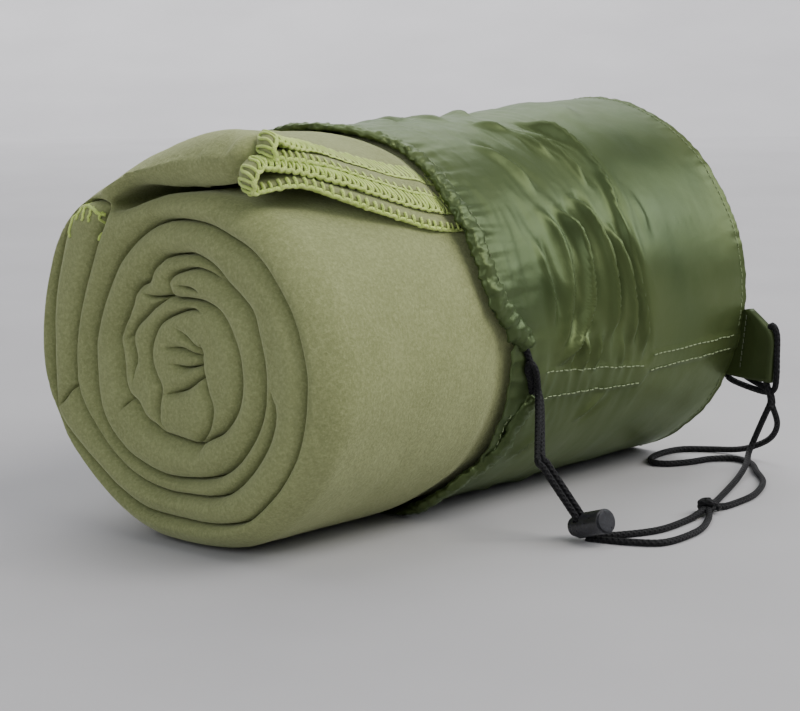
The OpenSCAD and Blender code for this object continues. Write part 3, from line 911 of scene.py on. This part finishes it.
# The mouth's drawcord tunnel from the upper cord exit over the top to the lower exit.
TUNNEL = [
    (91.5, -22), (88, -27), (84, -33), (79, -38.5), (73, -42), (66.5, -43), (60, -43), (52, -43.5),
    (44, -44), (35, -43), (25, -43.5), (14.5, -49), (6, -55), (-4, -58.5), (-16, -59), (-45, -53),
    (-90, -46), (-135, -42), (-180, -40), (-208, -37.5), (-215.5, -36), (-223.5, -33), (-228, -26.5),
    (-233, -21.5), (-238, -19.5), (-244, -18), (-249, -15.5), (-252, -11.5),
]
TUNNEL_R = SACK_R + 2.1
TUNNEL_HALF = (5.0, 2.6)  # half of its width along the sack, and of its height
TUNNEL_DEGREE_MM = 1.545  # one degree round the tunnel
TUNNEL_STEP = 1.1
TUNNEL_SIDES = 22
TUNNEL_LIP = ((0, 0.80), (2.0, 0.70), (6.0, 0.62))  # depth inside each end, and share of the size
# The side seam: x, angle of its middle, half of its angle; it steps where the cloth is pinched.
SEAM = [
    (-18, 105.2, 4.4), (0, 105.3, 4.1), (40, 107.2, 3.5), (73, 109.2, 2.8), (76.5, 105.6, 2.4),
    (147, 104.8, 2.3),
]
SEAM_STEP_X = 76
CLOTH_T = 0.45
STITCH_STEP = 0.5
PANEL_R = 86.8      # the round end panel
SIDE_END_X = 148.6
# The side panel turns in over the end seam: how far past its end, and how far inwards
SIDE_RIM = ((0.7, -0.5), (1.3, 0.0), (1.5, 1.2), (1.2, 2.6), (0.6, 4.0))


def mouth_x(angle):
    """Middle of the tunnel at each angle, the open notch between the exits included."""
    angles, xs = zip(*sorted(TUNNEL))
    wrapped = (np.asarray(angle) - 92) % 360 - 268
    return soft_interp(wrapped, [-268, angles[0] - 3, *angles], [-33, -31, *xs], 3.0)


def hem_line(angle):
    """Edge of the sack's cloth under the tunnel; at the notch it stays level with the hem."""
    return np.minimum(mouth_x(angle), -31.0)


def seam_angle(x, side=0):
    """Angle of the side seam's middle, or of its rows of stitches at side -1 and 1."""
    xs, middle, half = zip(*SEAM)
    return soft_interp(x, xs, middle, 0.8) + side * soft_interp(x, xs, half, 0.8)


def scattered_folds():
    """Folds on the parts of the sack that are away from the listed ones."""
    rng = random.Random(23)
    folds = []
    while len(folds) < 46:
        angle = rng.uniform(-215, -8)
        x = rng.uniform(-20, 120)
        if x > 85 and rng.random() < 0.7:
            continue
        length = rng.uniform(14, 46)
        bow = rng.uniform(-9, 9)
        points = [(x, angle), (x + bow, angle + length / 2), (x + rng.uniform(-4, 4), angle + length)]
        height = rng.uniform(0.8, 2.6) * (0.5 if x > 75 else 1)
        folds.append((points, height * rng.choice((1, 1, -0.5)), rng.uniform(1.8, 3.6)))
    return folds


def smooth_folds():
    """Every fold as a smooth path in mm on the unrolled sack, with its height and half width."""
    return [
        (smooth_path(np.array(points) * (1, DEGREE_MM), 2.0), height, width)
        for points, height, width in FOLDS + scattered_folds()
    ]


def fold_height(place, path, height, width):
    """One fold: a crest that falls off steeply on its far side, with a hollow behind it."""
    gap, where = distance_to_path(place, path)
    steps = distances(path)
    behind = np.where(place[:, 0] > np.interp(where, steps, path[:, 0]), gap, -gap)
    fade = smoothstep(np.minimum(where, steps[-1] - where) / min(16.0, steps[-1] / 2) + 0.15)
    slope = np.where(behind > 0, 0.75, 1.35) * width
    crest = 1 / (1 + (gap / slope) ** 2) ** 1.5
    hollow = np.exp(-((behind - 2.3 * width) ** 2) / (1.3 * width) ** 2)
    return height * fade * (1.25 * crest - 0.5 * hollow)


def mouth_gathers(x, angle, around):
    """Gathers that run in from the drawn mouth."""
    away = x - hem_line(angle)
    shear = np.column_stack([around[:, 1] / 7.5, around[:, 2] / 7.5, away / 70])
    ripple = 1 - np.abs(wobble(shear, 1.0, 5)) * 2.4
    ripple += 0.5 * (1 - np.abs(wobble(shear * 2.1, 1.0, 6)) * 2.4)
    return 1.35 * ripple * np.exp(-np.maximum(away - 4, 0) / 13)


def with_seam(total, x, angle):
    """The heights with the side seam's gathers and the doubled cloth of the seam itself."""
    middle, upper = seam_angle(x), seam_angle(x, 1)
    off = (angle - middle) * DEGREE_MM
    half = (upper - middle) * DEGREE_MM
    pucker = wobble_over(8, x / 4.6, off / 40) * np.where(x < SEAM_STEP_X, 1.0, 0.35)
    total = total + 0.9 * pucker * np.exp(-np.abs(np.abs(off) - half) / 4.0)
    felled = smoothstep((half + 1.4 - np.abs(off)) / 0.9)
    return total * (1 - 0.5 * felled) + 0.8 * felled


def unevenness(x, angle, around):
    """Broad swells, crinkles where the cloth is slack, and puckers where the end is sewn in."""
    total = 0.6 * wobble(around, 24, 9)
    crinkle = np.column_stack([x / 8, around[:, 1] / 26 + x / 40, around[:, 2] / 26])
    slack = (1 - 0.75 * smoothstep((x - 70) / 14)) * (1 - 0.7 * smoothstep((angle - 108) / 20))
    total += slack * (0.35 - 1.1 * np.abs(wobble(crinkle, 1.0, 10)) + 0.12 * wobble(crinkle * 2.3, 1.0, 11))
    past_top = (angle + 180) % 360 - 180
    total += 2.2 * smoothstep((x - 70) / 25) * np.exp(-((past_top / 35) ** 2))
    rim = np.exp(-np.maximum(147.5 - x, 0) / 5)
    return total + 0.55 * rim * wobble(around * (0.3, 1, 1), 2.6, 12)


def cloth_height(x, angle):
    """How far the sack's cloth stands out from its even cylinder, in mm."""
    angle = (angle + 5) % 360 - 5
    place = np.column_stack([x, angle * DEGREE_MM])
    around = on_roll(SACK_R, angle, x)
    total = np.zeros(len(x))
    for fold in SACK_FOLDS:
        for turn in (0, -360 * DEGREE_MM):
            total += fold_height(place + (0, turn), *fold)
    total += mouth_gathers(x, angle, around)
    total = with_seam(total, x, angle) + unevenness(x, angle, around)
    return np.maximum(total, -1.5 + 0.3 * np.tanh(total)) + 0.4


SACK_FOLDS = smooth_folds()


def settle(verts, low=0.35):
    """Cloth that reaches the floor lies flat on it."""
    return np.column_stack([verts[:, :2], rest_on_floor(verts[:, 2], low, 2.5)])


def cloth_point(x, angle):
    """Points of the sack's cloth."""
    x, angle = (np.ravel(values) for values in np.broadcast_arrays(x, angle))
    return settle(on_roll(SACK_R + cloth_height(x, angle), angle, x))


def solidify(obj, thickness):
    """Gives a sheet its real thickness, inwards from its outer face."""
    modifier = obj.modifiers.new("thickness", "SOLIDIFY")
    modifier.thickness = thickness * MM
    modifier.offset = -1
    return obj


def away_from_axis(points):
    """Direction straight away from the roll's axis at each point."""
    return unit((points - (0, 0, AXIS_MM)) * (0, 1, 1))


def sack_side(material):
    """The side panel, from under the tunnel to the end seam, where it turns in."""
    angles = np.concatenate([np.arange(-5, 125, 0.85), np.arange(125, 355, 1.9)])
    shares = np.concatenate([np.linspace(0, 0.62, 96), np.linspace(0.62, 1, 34)[1:]])
    start = hem_line(angles) + 1.0
    x = start + (SIDE_END_X - start) * shares[:, None]
    verts = cloth_point(x, angles).reshape(*x.shape, 3)
    last = verts[-1]
    outward = away_from_axis(last)
    bead = wobble_over(14, angles / 3.2, 0)
    rows = [*verts]
    for ahead, inward in SIDE_RIM:
        row = last - outward * (inward - 0.25 * bead)[:, None]
        row[:, 0] = last[:, 0] + ahead + 0.2 * bead
        row[:, 2] = np.maximum(row[:, 2], 0.35)
        rows.append(row)
    faces = grid_faces(len(rows), len(angles), closed_cols=True)
    return solidify(make_object("sack_side", np.vstack(rows), faces, material), CLOTH_T)


def sack_end(material):
    """The round end panel: slightly domed, with short puckers round its seam."""
    angles = np.arange(0, 360, 2.0)
    radii = np.concatenate([np.linspace(PANEL_R, 70, 14), np.linspace(70, 0, 16)[1:-1]])
    a, r = np.meshgrid(angles, radii)
    edge = np.exp(-(PANEL_R - r) / 7)
    pucker = wobble_over(15, a * DEGREE_MM / 3.4, r / 22)
    y, z = -r * np.sin(np.radians(a)), AXIS_MM + r * np.cos(np.radians(a))
    broad = wobble_over(16, y / 34, z / 20)
    x = 148.3 + 2.0 * (1 - (r / PANEL_R) ** 2) + 0.9 * pucker * edge + 0.9 * broad * (1 - edge)
    verts = np.stack([x, y, np.maximum(z, 0.6)], axis=-1).reshape(-1, 3)
    faces = grid_faces(len(radii), len(angles), closed_cols=True)
    centre = len(verts)
    base = centre - len(angles)
    verts = np.vstack([verts, [150.4, 0, AXIS_MM]])
    faces += [(base + i, base + (i + 1) % len(angles), centre) for i in range(len(angles))]
    return solidify(make_object("sack_end", verts, faces, material), CLOTH_T)


def tunnel_ring(angle, along, around):
    """Half widths of the ruffled tunnel, along the mouth's edge and out of it, at each point."""
    s, t = np.meshgrid(along, around, indexing="ij")
    place = (s / 4.2, np.cos(t) * 0.8, np.sin(t) * 0.8)
    lumps = wobble_over(20, *place)
    fine = wobble_over(21, *(2.3 * column for column in place))
    pleat = np.sin(s * 2 * math.pi / 5.4 + 5.0 * lumps + 0.9 * np.cos(t))
    grow = 1 + 0.11 * pleat + 0.28 * lumps + 0.34 * fine
    slim = soft_interp(angle, [-120, -60, 0, 50, 92], [0.9, 0.75, 0.62, 0.92, 1.05])[:, None]
    ends = np.minimum(along, along[-1] - along)[:, None]
    wide = TUNNEL_HALF[0] * slim * grow * (1 - 0.22 * np.exp(-ends / 2.5))
    tall = TUNNEL_HALF[1] * slim * (1 + 1.25 * (grow - 1)) * (1 + 0.2 * np.exp(-ends / 3))
    return np.cos(t) * wide, np.sin(t) * tall


def sack_tunnel(material):
    """The drawcord tunnel: a ruffled tube with an open end at each cord exit."""
    line = smooth_path(np.array(TUNNEL) * (TUNNEL_DEGREE_MM, 1.0), TUNNEL_STEP)
    angle, x = line[:, 0] / TUNNEL_DEGREE_MM, line[:, 1]
    path = on_roll(TUNNEL_R, angle, x)
    tangent = unit(np.gradient(path, axis=0))
    side = unit(np.cross(tangent, away_from_axis(path)))
    out = np.cross(side, tangent)
    around = np.linspace(0, 2 * math.pi, TUNNEL_SIDES, endpoint=False)
    wide, tall = tunnel_ring(angle, np.arange(len(x)) * TUNNEL_STEP, around)
    ring = side[:, None] * wide[..., None] + out[:, None] * tall[..., None]
    # Each end turns in on itself, so that the tunnel is seen to be hollow
    first, last = (
        [path[end] + tangent[end] * depth * step + ring[end] * share for depth, share in TUNNEL_LIP]
        for end, step in ((0, 1), (-1, -1))
    )
    rows = first[::-1] + list(path[:, None] + ring) + last
    verts = settle(np.vstack(rows), 0.3)
    faces = [f[::-1] for f in tube_faces(len(rows), TUNNEL_SIDES)]
    return make_object("sack_tunnel", verts, faces, material)


def stitch_run(xs, angles, lift, pitch, gap, radius, rng):
    """Separate stitches along a line on the sack's cloth."""
    line = resample(np.column_stack([xs, angles * DEGREE_MM]), STITCH_STEP)
    parts = []
    step = int(round(pitch / STITCH_STEP))
    length = int(round((pitch - gap) / STITCH_STEP)) + 1
    rise = lift * np.sin(np.linspace(0.1, math.pi - 0.1, length)) ** 0.5
    for start in range(0, len(line) - length, step):
        x, arc = line[start : start + length].T
        angle = np.degrees(arc / SACK_R) + rng.uniform(-0.12, 0.12)
        parts.append(cloth_point(x, angle) + (on_roll(rise, angle, 0 * x) - (0, 0, AXIS_MM)))
    return [tube(part, radius, sides=6) for part in parts]


def sack_threads(material):
    """The sack's stitches: two rows on the side seam, one below the tunnel, one at the end."""
    rng = random.Random(31)
    side = []
    for first, last in ((-6, 72.5), (77, 146.5)):
        xs = np.arange(first, last, 1.0)
        for row in (-1, 1):
            angles = seam_angle(xs, row) + 0.22 * wobble_over(33, xs / 7, row)
            side += stitch_run(xs, angles, 0.3, 3.5, 1.0, 0.27, rng)
    angles = np.arange(91, -250, -1.0)
    tunnel = stitch_run(hem_line(angles) + 6.3, angles, 0.3, 3.5, 1.5, 0.22, rng)
    angles = np.arange(100, -244, -1.0)
    end = stitch_run(0 * angles + 146.4, angles, 0.2, 3.0, 1.2, 0.18, rng)
    return [
        make_object(f"{name}_stitches", *join_parts(parts), material)
        for name, parts in (("side_seam", side), ("tunnel", tunnel), ("end_seam", end))
    ]


# ---------- tab ----------

# Outer and inner edge of the strap (y, z), and its middle and half thickness along X.
TAB_OUT = [(-104.3, 44), (-105.3, 55), (-105.5, 67), (-99, 74), (-92.5, 79)]
TAB_IN = [(-77, 45), (-80.5, 53), (-83.5, 62), (-85.8, 70), (-87.2, 78)]
TAB_MIDDLE, TAB_HALF = 150.05, 2.05
TAB_ROWS = 22


def even_rows(line, count):
    """A number of rows at equal steps through a list of points."""
    wanted = np.linspace(0, 1, count)
    given = np.linspace(0, 1, len(line))
    return np.column_stack([np.interp(wanted, given, column) for column in line.T])


def tab(material):
    """A strip of nylon folded over on itself and caught in the end seam."""
    outer = even_rows(smooth_path(TAB_OUT, 1.6), TAB_ROWS)
    inner = even_rows(smooth_path(TAB_IN, 1.6), TAB_ROWS)
    shares = np.linspace(0, 1, 12)
    profile = [(share, -1.0) for share in shares]
    for turn in np.radians(np.linspace(-60, 60, 5)):
        profile.append((1 + 0.055 * math.cos(turn), math.sin(turn)))
    profile += [(share, 1.0) for share in shares[::-1]]
    verts = []
    for share, side in profile:
        across = min(share, 1)
        y, z = (inner + (outer - inner) * share).T
        belly = 0.5 * math.sin(across * math.pi)
        x = TAB_MIDDLE + side * (TAB_HALF * (0.35 + 0.65 * min(share * 1.6, 1)) + belly)
        row = np.column_stack([x + 0 * y, y, z])
        row[:, 0] += 0.5 * wobble(row, 12, 40) * across
        verts.append(row)
    faces = [f[::-1] for f in grid_faces(len(profile), TAB_ROWS)]
    return solidify(make_object("tab_strap", np.vstack(verts), faces, material), 0.5)


def tab_threads(material):
    """Rows of stitches that close the tab near the seam, on both of its faces."""
    parts = []
    for side in (-1, 1):
        x = TAB_MIDDLE + side * (TAB_HALF * 0.9 + 0.75)
        for z in np.arange(50, 76, 3.0):
            y = -88.5 - (z - 50) * 0.12
            parts.append(tube(np.array([(x, y, z + dz) for dz in (0, 0.7, 1.4, 2.1)]), 0.26, sides=6))
    return make_object("tab_stitches", *join_parts(parts), material)


# ---------- cord ----------

CORD_R = 1.5
CORD_SIDES = 14
LIE_Z = 1.6
KNOT = (57, -133, 3.6)
STRANDS_TO_MIDDLE = 5.57  # from between the strands to the middle of the lock's barrel
STRAIGHT_RUN = (37, 35, 26, 17, 8, 0, -6.4)  # heights over the lock along its strands
# Both strands from the tunnel to where they leave the sack: x, angle, height above the
# sack; then the corner before their straight run, and the side of the lock they take.
STRANDS = [
    ([(-33, 84, 0.8), (-27.5, 88, 0.8), (-22.4, 92.4, 1.6), (-18.7, 97.2, 2.4), (-13.4, 102.4, 2.4),
      (-9.8, 106.5, 3.0)], (-14.5, -93.0, 54.0), 1.6),
    ([(-18.5, 121, 0.8), (-15.5, 113.5, 0.8), (-13.2, 108, 1.2), (-16.6, 103, 2.6), (-20.8, 98.6, 2.8),
      (-21.6, 96.3, 4.6), (-19, 98.8, 6.0), (-14.5, 104.5, 5.4)], (-18.5, -94.5, 54.0), -1.6),
]
# The cord's way up through the tab's fold and round it.
HITCH = [
    (150, -103.5, 40.5), (150, -101.8, 46), (150, -101.6, 56), (150, -101.9, 66), (150, -104.7, 72.2),
    (150, -107.7, 68), (150, -108, 57), (150.4, -107.8, 47), (151, -106.2, 40.5), (151.6, -101, 38.5),
    (152.8, -90, 39.5), (154.2, -80, 41.2), (154.9, -76.3, 43), (155, -76.5, 46.2), (154.2, -80.5, 47.2),
    (152.9, -91, 43.5), (151.5, -100, 40.8), (150.6, -104.8, 37.8),
]
joints = {joint["name"]: joint for joint in frame["joints"]}
SWING_AT = np.array(joints["cord_swing"]["pos_m"]) / MM
UP_STRANDS = np.array(joints["lock_slide"]["axis"], float)
BARREL = np.array(joints["plunger_press"]["axis"], float)
ACROSS = np.cross(UP_STRANDS, BARREL)
barrel_lo, barrel_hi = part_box("lock_barrel")
BARREL_MID = np.array((barrel_lo + barrel_hi) / 2) / MM
LOCK_AT = BARREL_MID - BARREL * STRANDS_TO_MIDDLE
HIGH_EXIT = SWING_AT
LOW_EXIT = np.array((SWING_AT[0], -85.3, 54.9))
TAB_LOW = np.array((150, -104.75, 33.2))


def strand_at(side, up):
    """A point of the straight run through the lock."""
    return LOCK_AT + ACROSS * side + UP_STRANDS * up


def cord(name, path, material, radius=CORD_R):
    """A braided cord through the points of a path."""
    verts, faces, along, around = tube(smooth_path(path, 0.9), radius, sides=CORD_SIDES)
    along_braid, around_braid = along * BRAID_ALONG, around * BRAID_AROUND
    ripple = np.maximum(np.sin(along_braid + around_braid), np.sin(along_braid - around_braid))
    rings = verts.reshape(-1, CORD_SIDES, 3)
    centre = rings.mean(axis=1, keepdims=True)
    rings = centre + (rings - centre) * (1 + 0.045 * ripple.reshape(-1, CORD_SIDES, 1))
    return make_object(name, rings.reshape(-1, 3), faces, material, {"along": along, "around": around})


def exit_run(over_sack, corner, side):
    """One strand from its exit to the lock, and the index up to which it bends."""
    start = [on_roll(SACK_R + height, angle, x) for x, angle, height in over_sack]
    top, *through = [strand_at(side, up) for up in STRAIGHT_RUN]
    line = smooth_path([*start, corner, top, *through], 0.9)
    return line, int(np.argmin(np.linalg.norm(line - top, axis=1)))


def on_floor(*places):
    """Points of the cord where it lies on the floor."""
    return [(x, y, LIE_Z) for x, y in places]


def carry_cord(material, strands):
    """Both strands through the lock to the knot, and the two runs from the knot to the tab."""
    near = on_floor((-6, -130), (13, -138), (36, -137)) + [(51, -134.5, 2.6), KNOT]
    far = on_floor((-12, -142), (-2, -153), (23, -152), (44, -143)) + [(54, -136, 2.6), KNOT]
    short_way = [
        KNOT, (66, -129.5, 2.2), (80, -124, LIE_Z), (115, -110, 2.4), (137, -100.5, 4.8), (147, -95, 7.5),
        (151, -95, 13), (151, -99, 22), TAB_LOW,
    ]
    slack_way = [KNOT, (66, -134.5, 2.0)]
    slack_way += on_floor(
        (75, -135), (97, -132), (121, -121), (138, -106), (151, -94), (155, -82), (147, -73),
        (133, -69), (123, -63), (121, -56), (128, -50), (141, -47), (155, -49), (165, -60),
    )
    slack_way += [(168, -73, 2.8), (166, -85, 6.5), (163, -97, 13), (158, -104, 22), TAB_LOW + (1.5, 0, 0)]
    pieces = []
    for name, (line, split), end in zip(("cord_near", "cord_far"), strands, (near, far)):
        pieces.append(cord(name, np.vstack([line[split - 1 : -4 : 4], line[-4:], end]), material))
    pieces.append(cord("cord_short_way", short_way, material))
    pieces.append(cord("cord_slack_way", slack_way, material))
    pieces.append(knot(material))
    return pieces


def knot(material):
    """An overhand knot that joins the cord's two ends, with its short tails."""
    x, y, z = KNOT
    turns = []
    for t in np.linspace(0, 2 * math.pi * 2.1, 30):
        turns.append((
            x + 2.6 * math.cos(t) * (1 - 0.12 * math.sin(2 * t)), y + 2.9 * math.sin(t),
            z + 0.6 + 1.5 * math.sin(t / 2.1 + 0.4) + 0.7 * math.cos(1.5 * t),
        ))
    tail = [turns[-1], (x + 3, y - 3.5, 3.2), (x + 3.2, y - 5, 2.4)]
    return cord("cord_knot", turns + tail, material, 1.45)


def cord_ends(material, strands):
    """The two ends of the loop, from the exits to the top of the lock's straight run, and the hitch at the
    tab.
    """
    high, low = (
        cord(name, line[: split + 2], material)
        for name, (line, split) in zip(("cord_high_exit", "cord_low_exit"), strands)
    )
    hitch = [TAB_LOW + (0.3, 0, -2), TAB_LOW + (0.2, 0, 3), *HITCH, TAB_LOW + (1.6, -0.5, 0)]
    return high, low, cord("cord_at_tab", hitch, material)


# ---------- lock ----------

SPRING_ENDS = (4.45, 12.85)  # along the barrel, from the strands
SPRING_R = 2.5
SPRING_TURNS = 4
WIRE_R = 0.35


def coil_spring(material):
    """The spring between the plunger and the barrel's closed end."""
    turn = np.linspace(0, 2 * math.pi * SPRING_TURNS, SPRING_TURNS * 24 + 1)
    rise = np.linspace(*SPRING_ENDS, len(turn))
    coil = np.outer(np.cos(turn), ACROSS) + np.outer(np.sin(turn), UP_STRANDS)
    path = LOCK_AT + np.outer(rise, BARREL) + SPRING_R * coil
    verts, faces = tube(path, WIRE_R)[:2]
    return make_object("coil_spring", verts, faces, material)


# ---------- stage, in metres ----------

CAMERA_TURN = math.radians(-48.203)
CAMERA_PITCH = math.radians(10.338)
PAPER = [(-5.0, 0), (1.2, 0), (2.2, 0), (3.0, 0.35), (3.4, 1.2), (3.5, 4.0)]  # distance, height
PAPER_HALF = 8.0
ROLL_MIDDLE = (0, 0, 0.09)
# Name, place, target, size, power and colour of each light.
LIGHTS = [
    ("key", (0.35, -1.25, 1.55), ROLL_MIDDLE, (1.2, 0.9), 21, (1.0, 0.97, 0.92)),
    ("side", (1.25, -1.05, 1.0), ROLL_MIDDLE, (1.3, 0.8), 15, (0.96, 0.98, 1.0)),
    ("fill", (-1.6, -0.5, 0.9), ROLL_MIDDLE, (1.0, 1.0), 10, (0.92, 0.95, 1.0)),
    ("top", (0.2, 0.4, 1.9), ROLL_MIDDLE, (1.4, 1.4), 12, (0.95, 0.97, 1.0)),
    ("backdrop", (1.55, 2.05, 2.4), (2.4, 2.8, 0.4), (3.5, 0.8), 135, (0.97, 0.98, 1.0)),
]


def stage():
    """A sheet of pale paper that lies under the object and curves up far behind it."""
    profile = smooth_path(PAPER, 0.1)
    forward = np.array((-math.sin(CAMERA_TURN), math.cos(CAMERA_TURN)))
    across = np.array((forward[1], -forward[0]))
    verts = []
    for side in (-PAPER_HALF, PAPER_HALF):
        for along, height in profile:
            x, y = forward * along + across * side
            verts.append((x / MM, y / MM, height / MM - 0.05))
    n = Nodes("studio_paper")
    tone = n.ramp(n.noise(6, 3), (0.35, (0.465, 0.455, 0.462)), (0.65, (0.50, 0.49, 0.497)))
    material = n.finish(Base_Color=tone, Roughness=0.9, Normal=n.bump(n.noise(400, 3), 0.1, 0.0005))
    make_object("floor", verts, grid_faces(2, len(profile)), material)


def area_light(name, place, target, size, power, color):
    """A rectangular light at a place, turned towards its target."""
    data = bpy.data.lights.new(name, "AREA")
    data.shape = "RECTANGLE"
    data.size, data.size_y = size
    data.energy = power
    data.color = color
    light = bpy.data.objects.new(name, data)
    light.location = place
    light.rotation_euler = (Vector(target) - Vector(place)).to_track_quat("-Z", "Y").to_euler()
    bpy.context.scene.collection.objects.link(light)


def lighting():
    """A dim, slightly blue room and the five lights of the table."""
    world = bpy.data.worlds.new("studio")
    world.use_nodes = True
    background = world.node_tree.nodes["Background"]
    background.inputs["Color"].default_value = (0.80, 0.82, 0.90, 1)
    background.inputs["Strength"].default_value = 0.28
    bpy.context.scene.world = world
    for light in LIGHTS:
        area_light(*light)


def camera():
    """The view of the reference: a long lens, turned round the roll and a little down."""
    level = math.cos(CAMERA_PITCH)
    ahead = Vector((
        -math.sin(CAMERA_TURN) * level, math.cos(CAMERA_TURN) * level, -math.sin(CAMERA_PITCH),
    ))
    data = bpy.data.cameras.new("camera")
    data.lens = 112.4
    data.sensor_width = 36
    data.clip_start, data.clip_end = 0.05, 50
    cam = bpy.data.objects.new("camera", data)
    cam.location = (-0.8631, -0.7678, 0.2757)
    cam.rotation_mode = "QUATERNION"
    cam.rotation_quaternion = ahead.to_track_quat("-Z", "Y")
    bpy.context.scene.collection.objects.link(cam)
    bpy.context.scene.camera = cam


# ---------- build ----------


def place_pieces(pieces, body):
    """Rides the pieces on a body."""
    for piece in pieces:
        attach(piece, body)


def build_blanket():
    fleece = fleece_material()
    yarn = yarn_material()
    roll = fleece_roll(fleece)
    layers = [hem_layers(part, fleece) for part in HEM_PAIRS]
    stitches = hem_yarn(yarn) + [tucked_yarn(roll, yarn)]
    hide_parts("fleece_blanket")
    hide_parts("hem_yarn")
    place_pieces([roll] + layers, "blanket")
    place_pieces(stitches, "blanket")


def build_sack():
    nylon = nylon_material()
    cloth = [sack_side(nylon), sack_end(nylon), sack_tunnel(nylon)]
    cloth.append(tab(nylon_material("tab_nylon", 0.55)))
    stitches = sack_threads(thread_material())
    stitches.append(tab_threads(thread_material("tab_thread", 0.25)))
    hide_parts("side_seam_tape")
    for piece, node in zip(cloth, ("bag_side_panel", "bag_end_panel", "mouth_casing", "pull_tab")):
        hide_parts(node)
    threads = ("side_seam_thread", "casing_thread", "end_seam_thread", "tab_thread")
    for piece, node in zip(stitches, threads):
        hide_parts(node)
    place_pieces(cloth, "bag")
    place_pieces(stitches, "bag")


def build_cord():
    black = cord_material()
    strands = [exit_run(*strand) for strand in STRANDS]
    runs = carry_cord(black, strands)
    high, low, hitch = cord_ends(black, strands)
    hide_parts("cord_loop")
    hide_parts("drawcord")
    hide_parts("tab_hitch")
    for piece, start, (line, split) in zip((high, low), (HIGH_EXIT, LOW_EXIT), strands):
        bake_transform(piece)
    place_pieces(runs, "carry_cord")
    place_pieces([hitch], "bag")


def finish_lock():
    """Moulded plastic on the lock's CAD shapes, and a coil spring in place of the CAD one."""
    plastic = plastic_material()
    for node in ("lock_barrel", "lock_plunger"):
        for slot in frame["nodes"][node].material_slots:
            slot.material = plastic
    spring = coil_spring(steel_material())
    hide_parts("lock_spring")
    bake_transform(spring)


build_blanket()
build_sack()
build_cord()
finish_lock()
stage()
lighting()
camera()
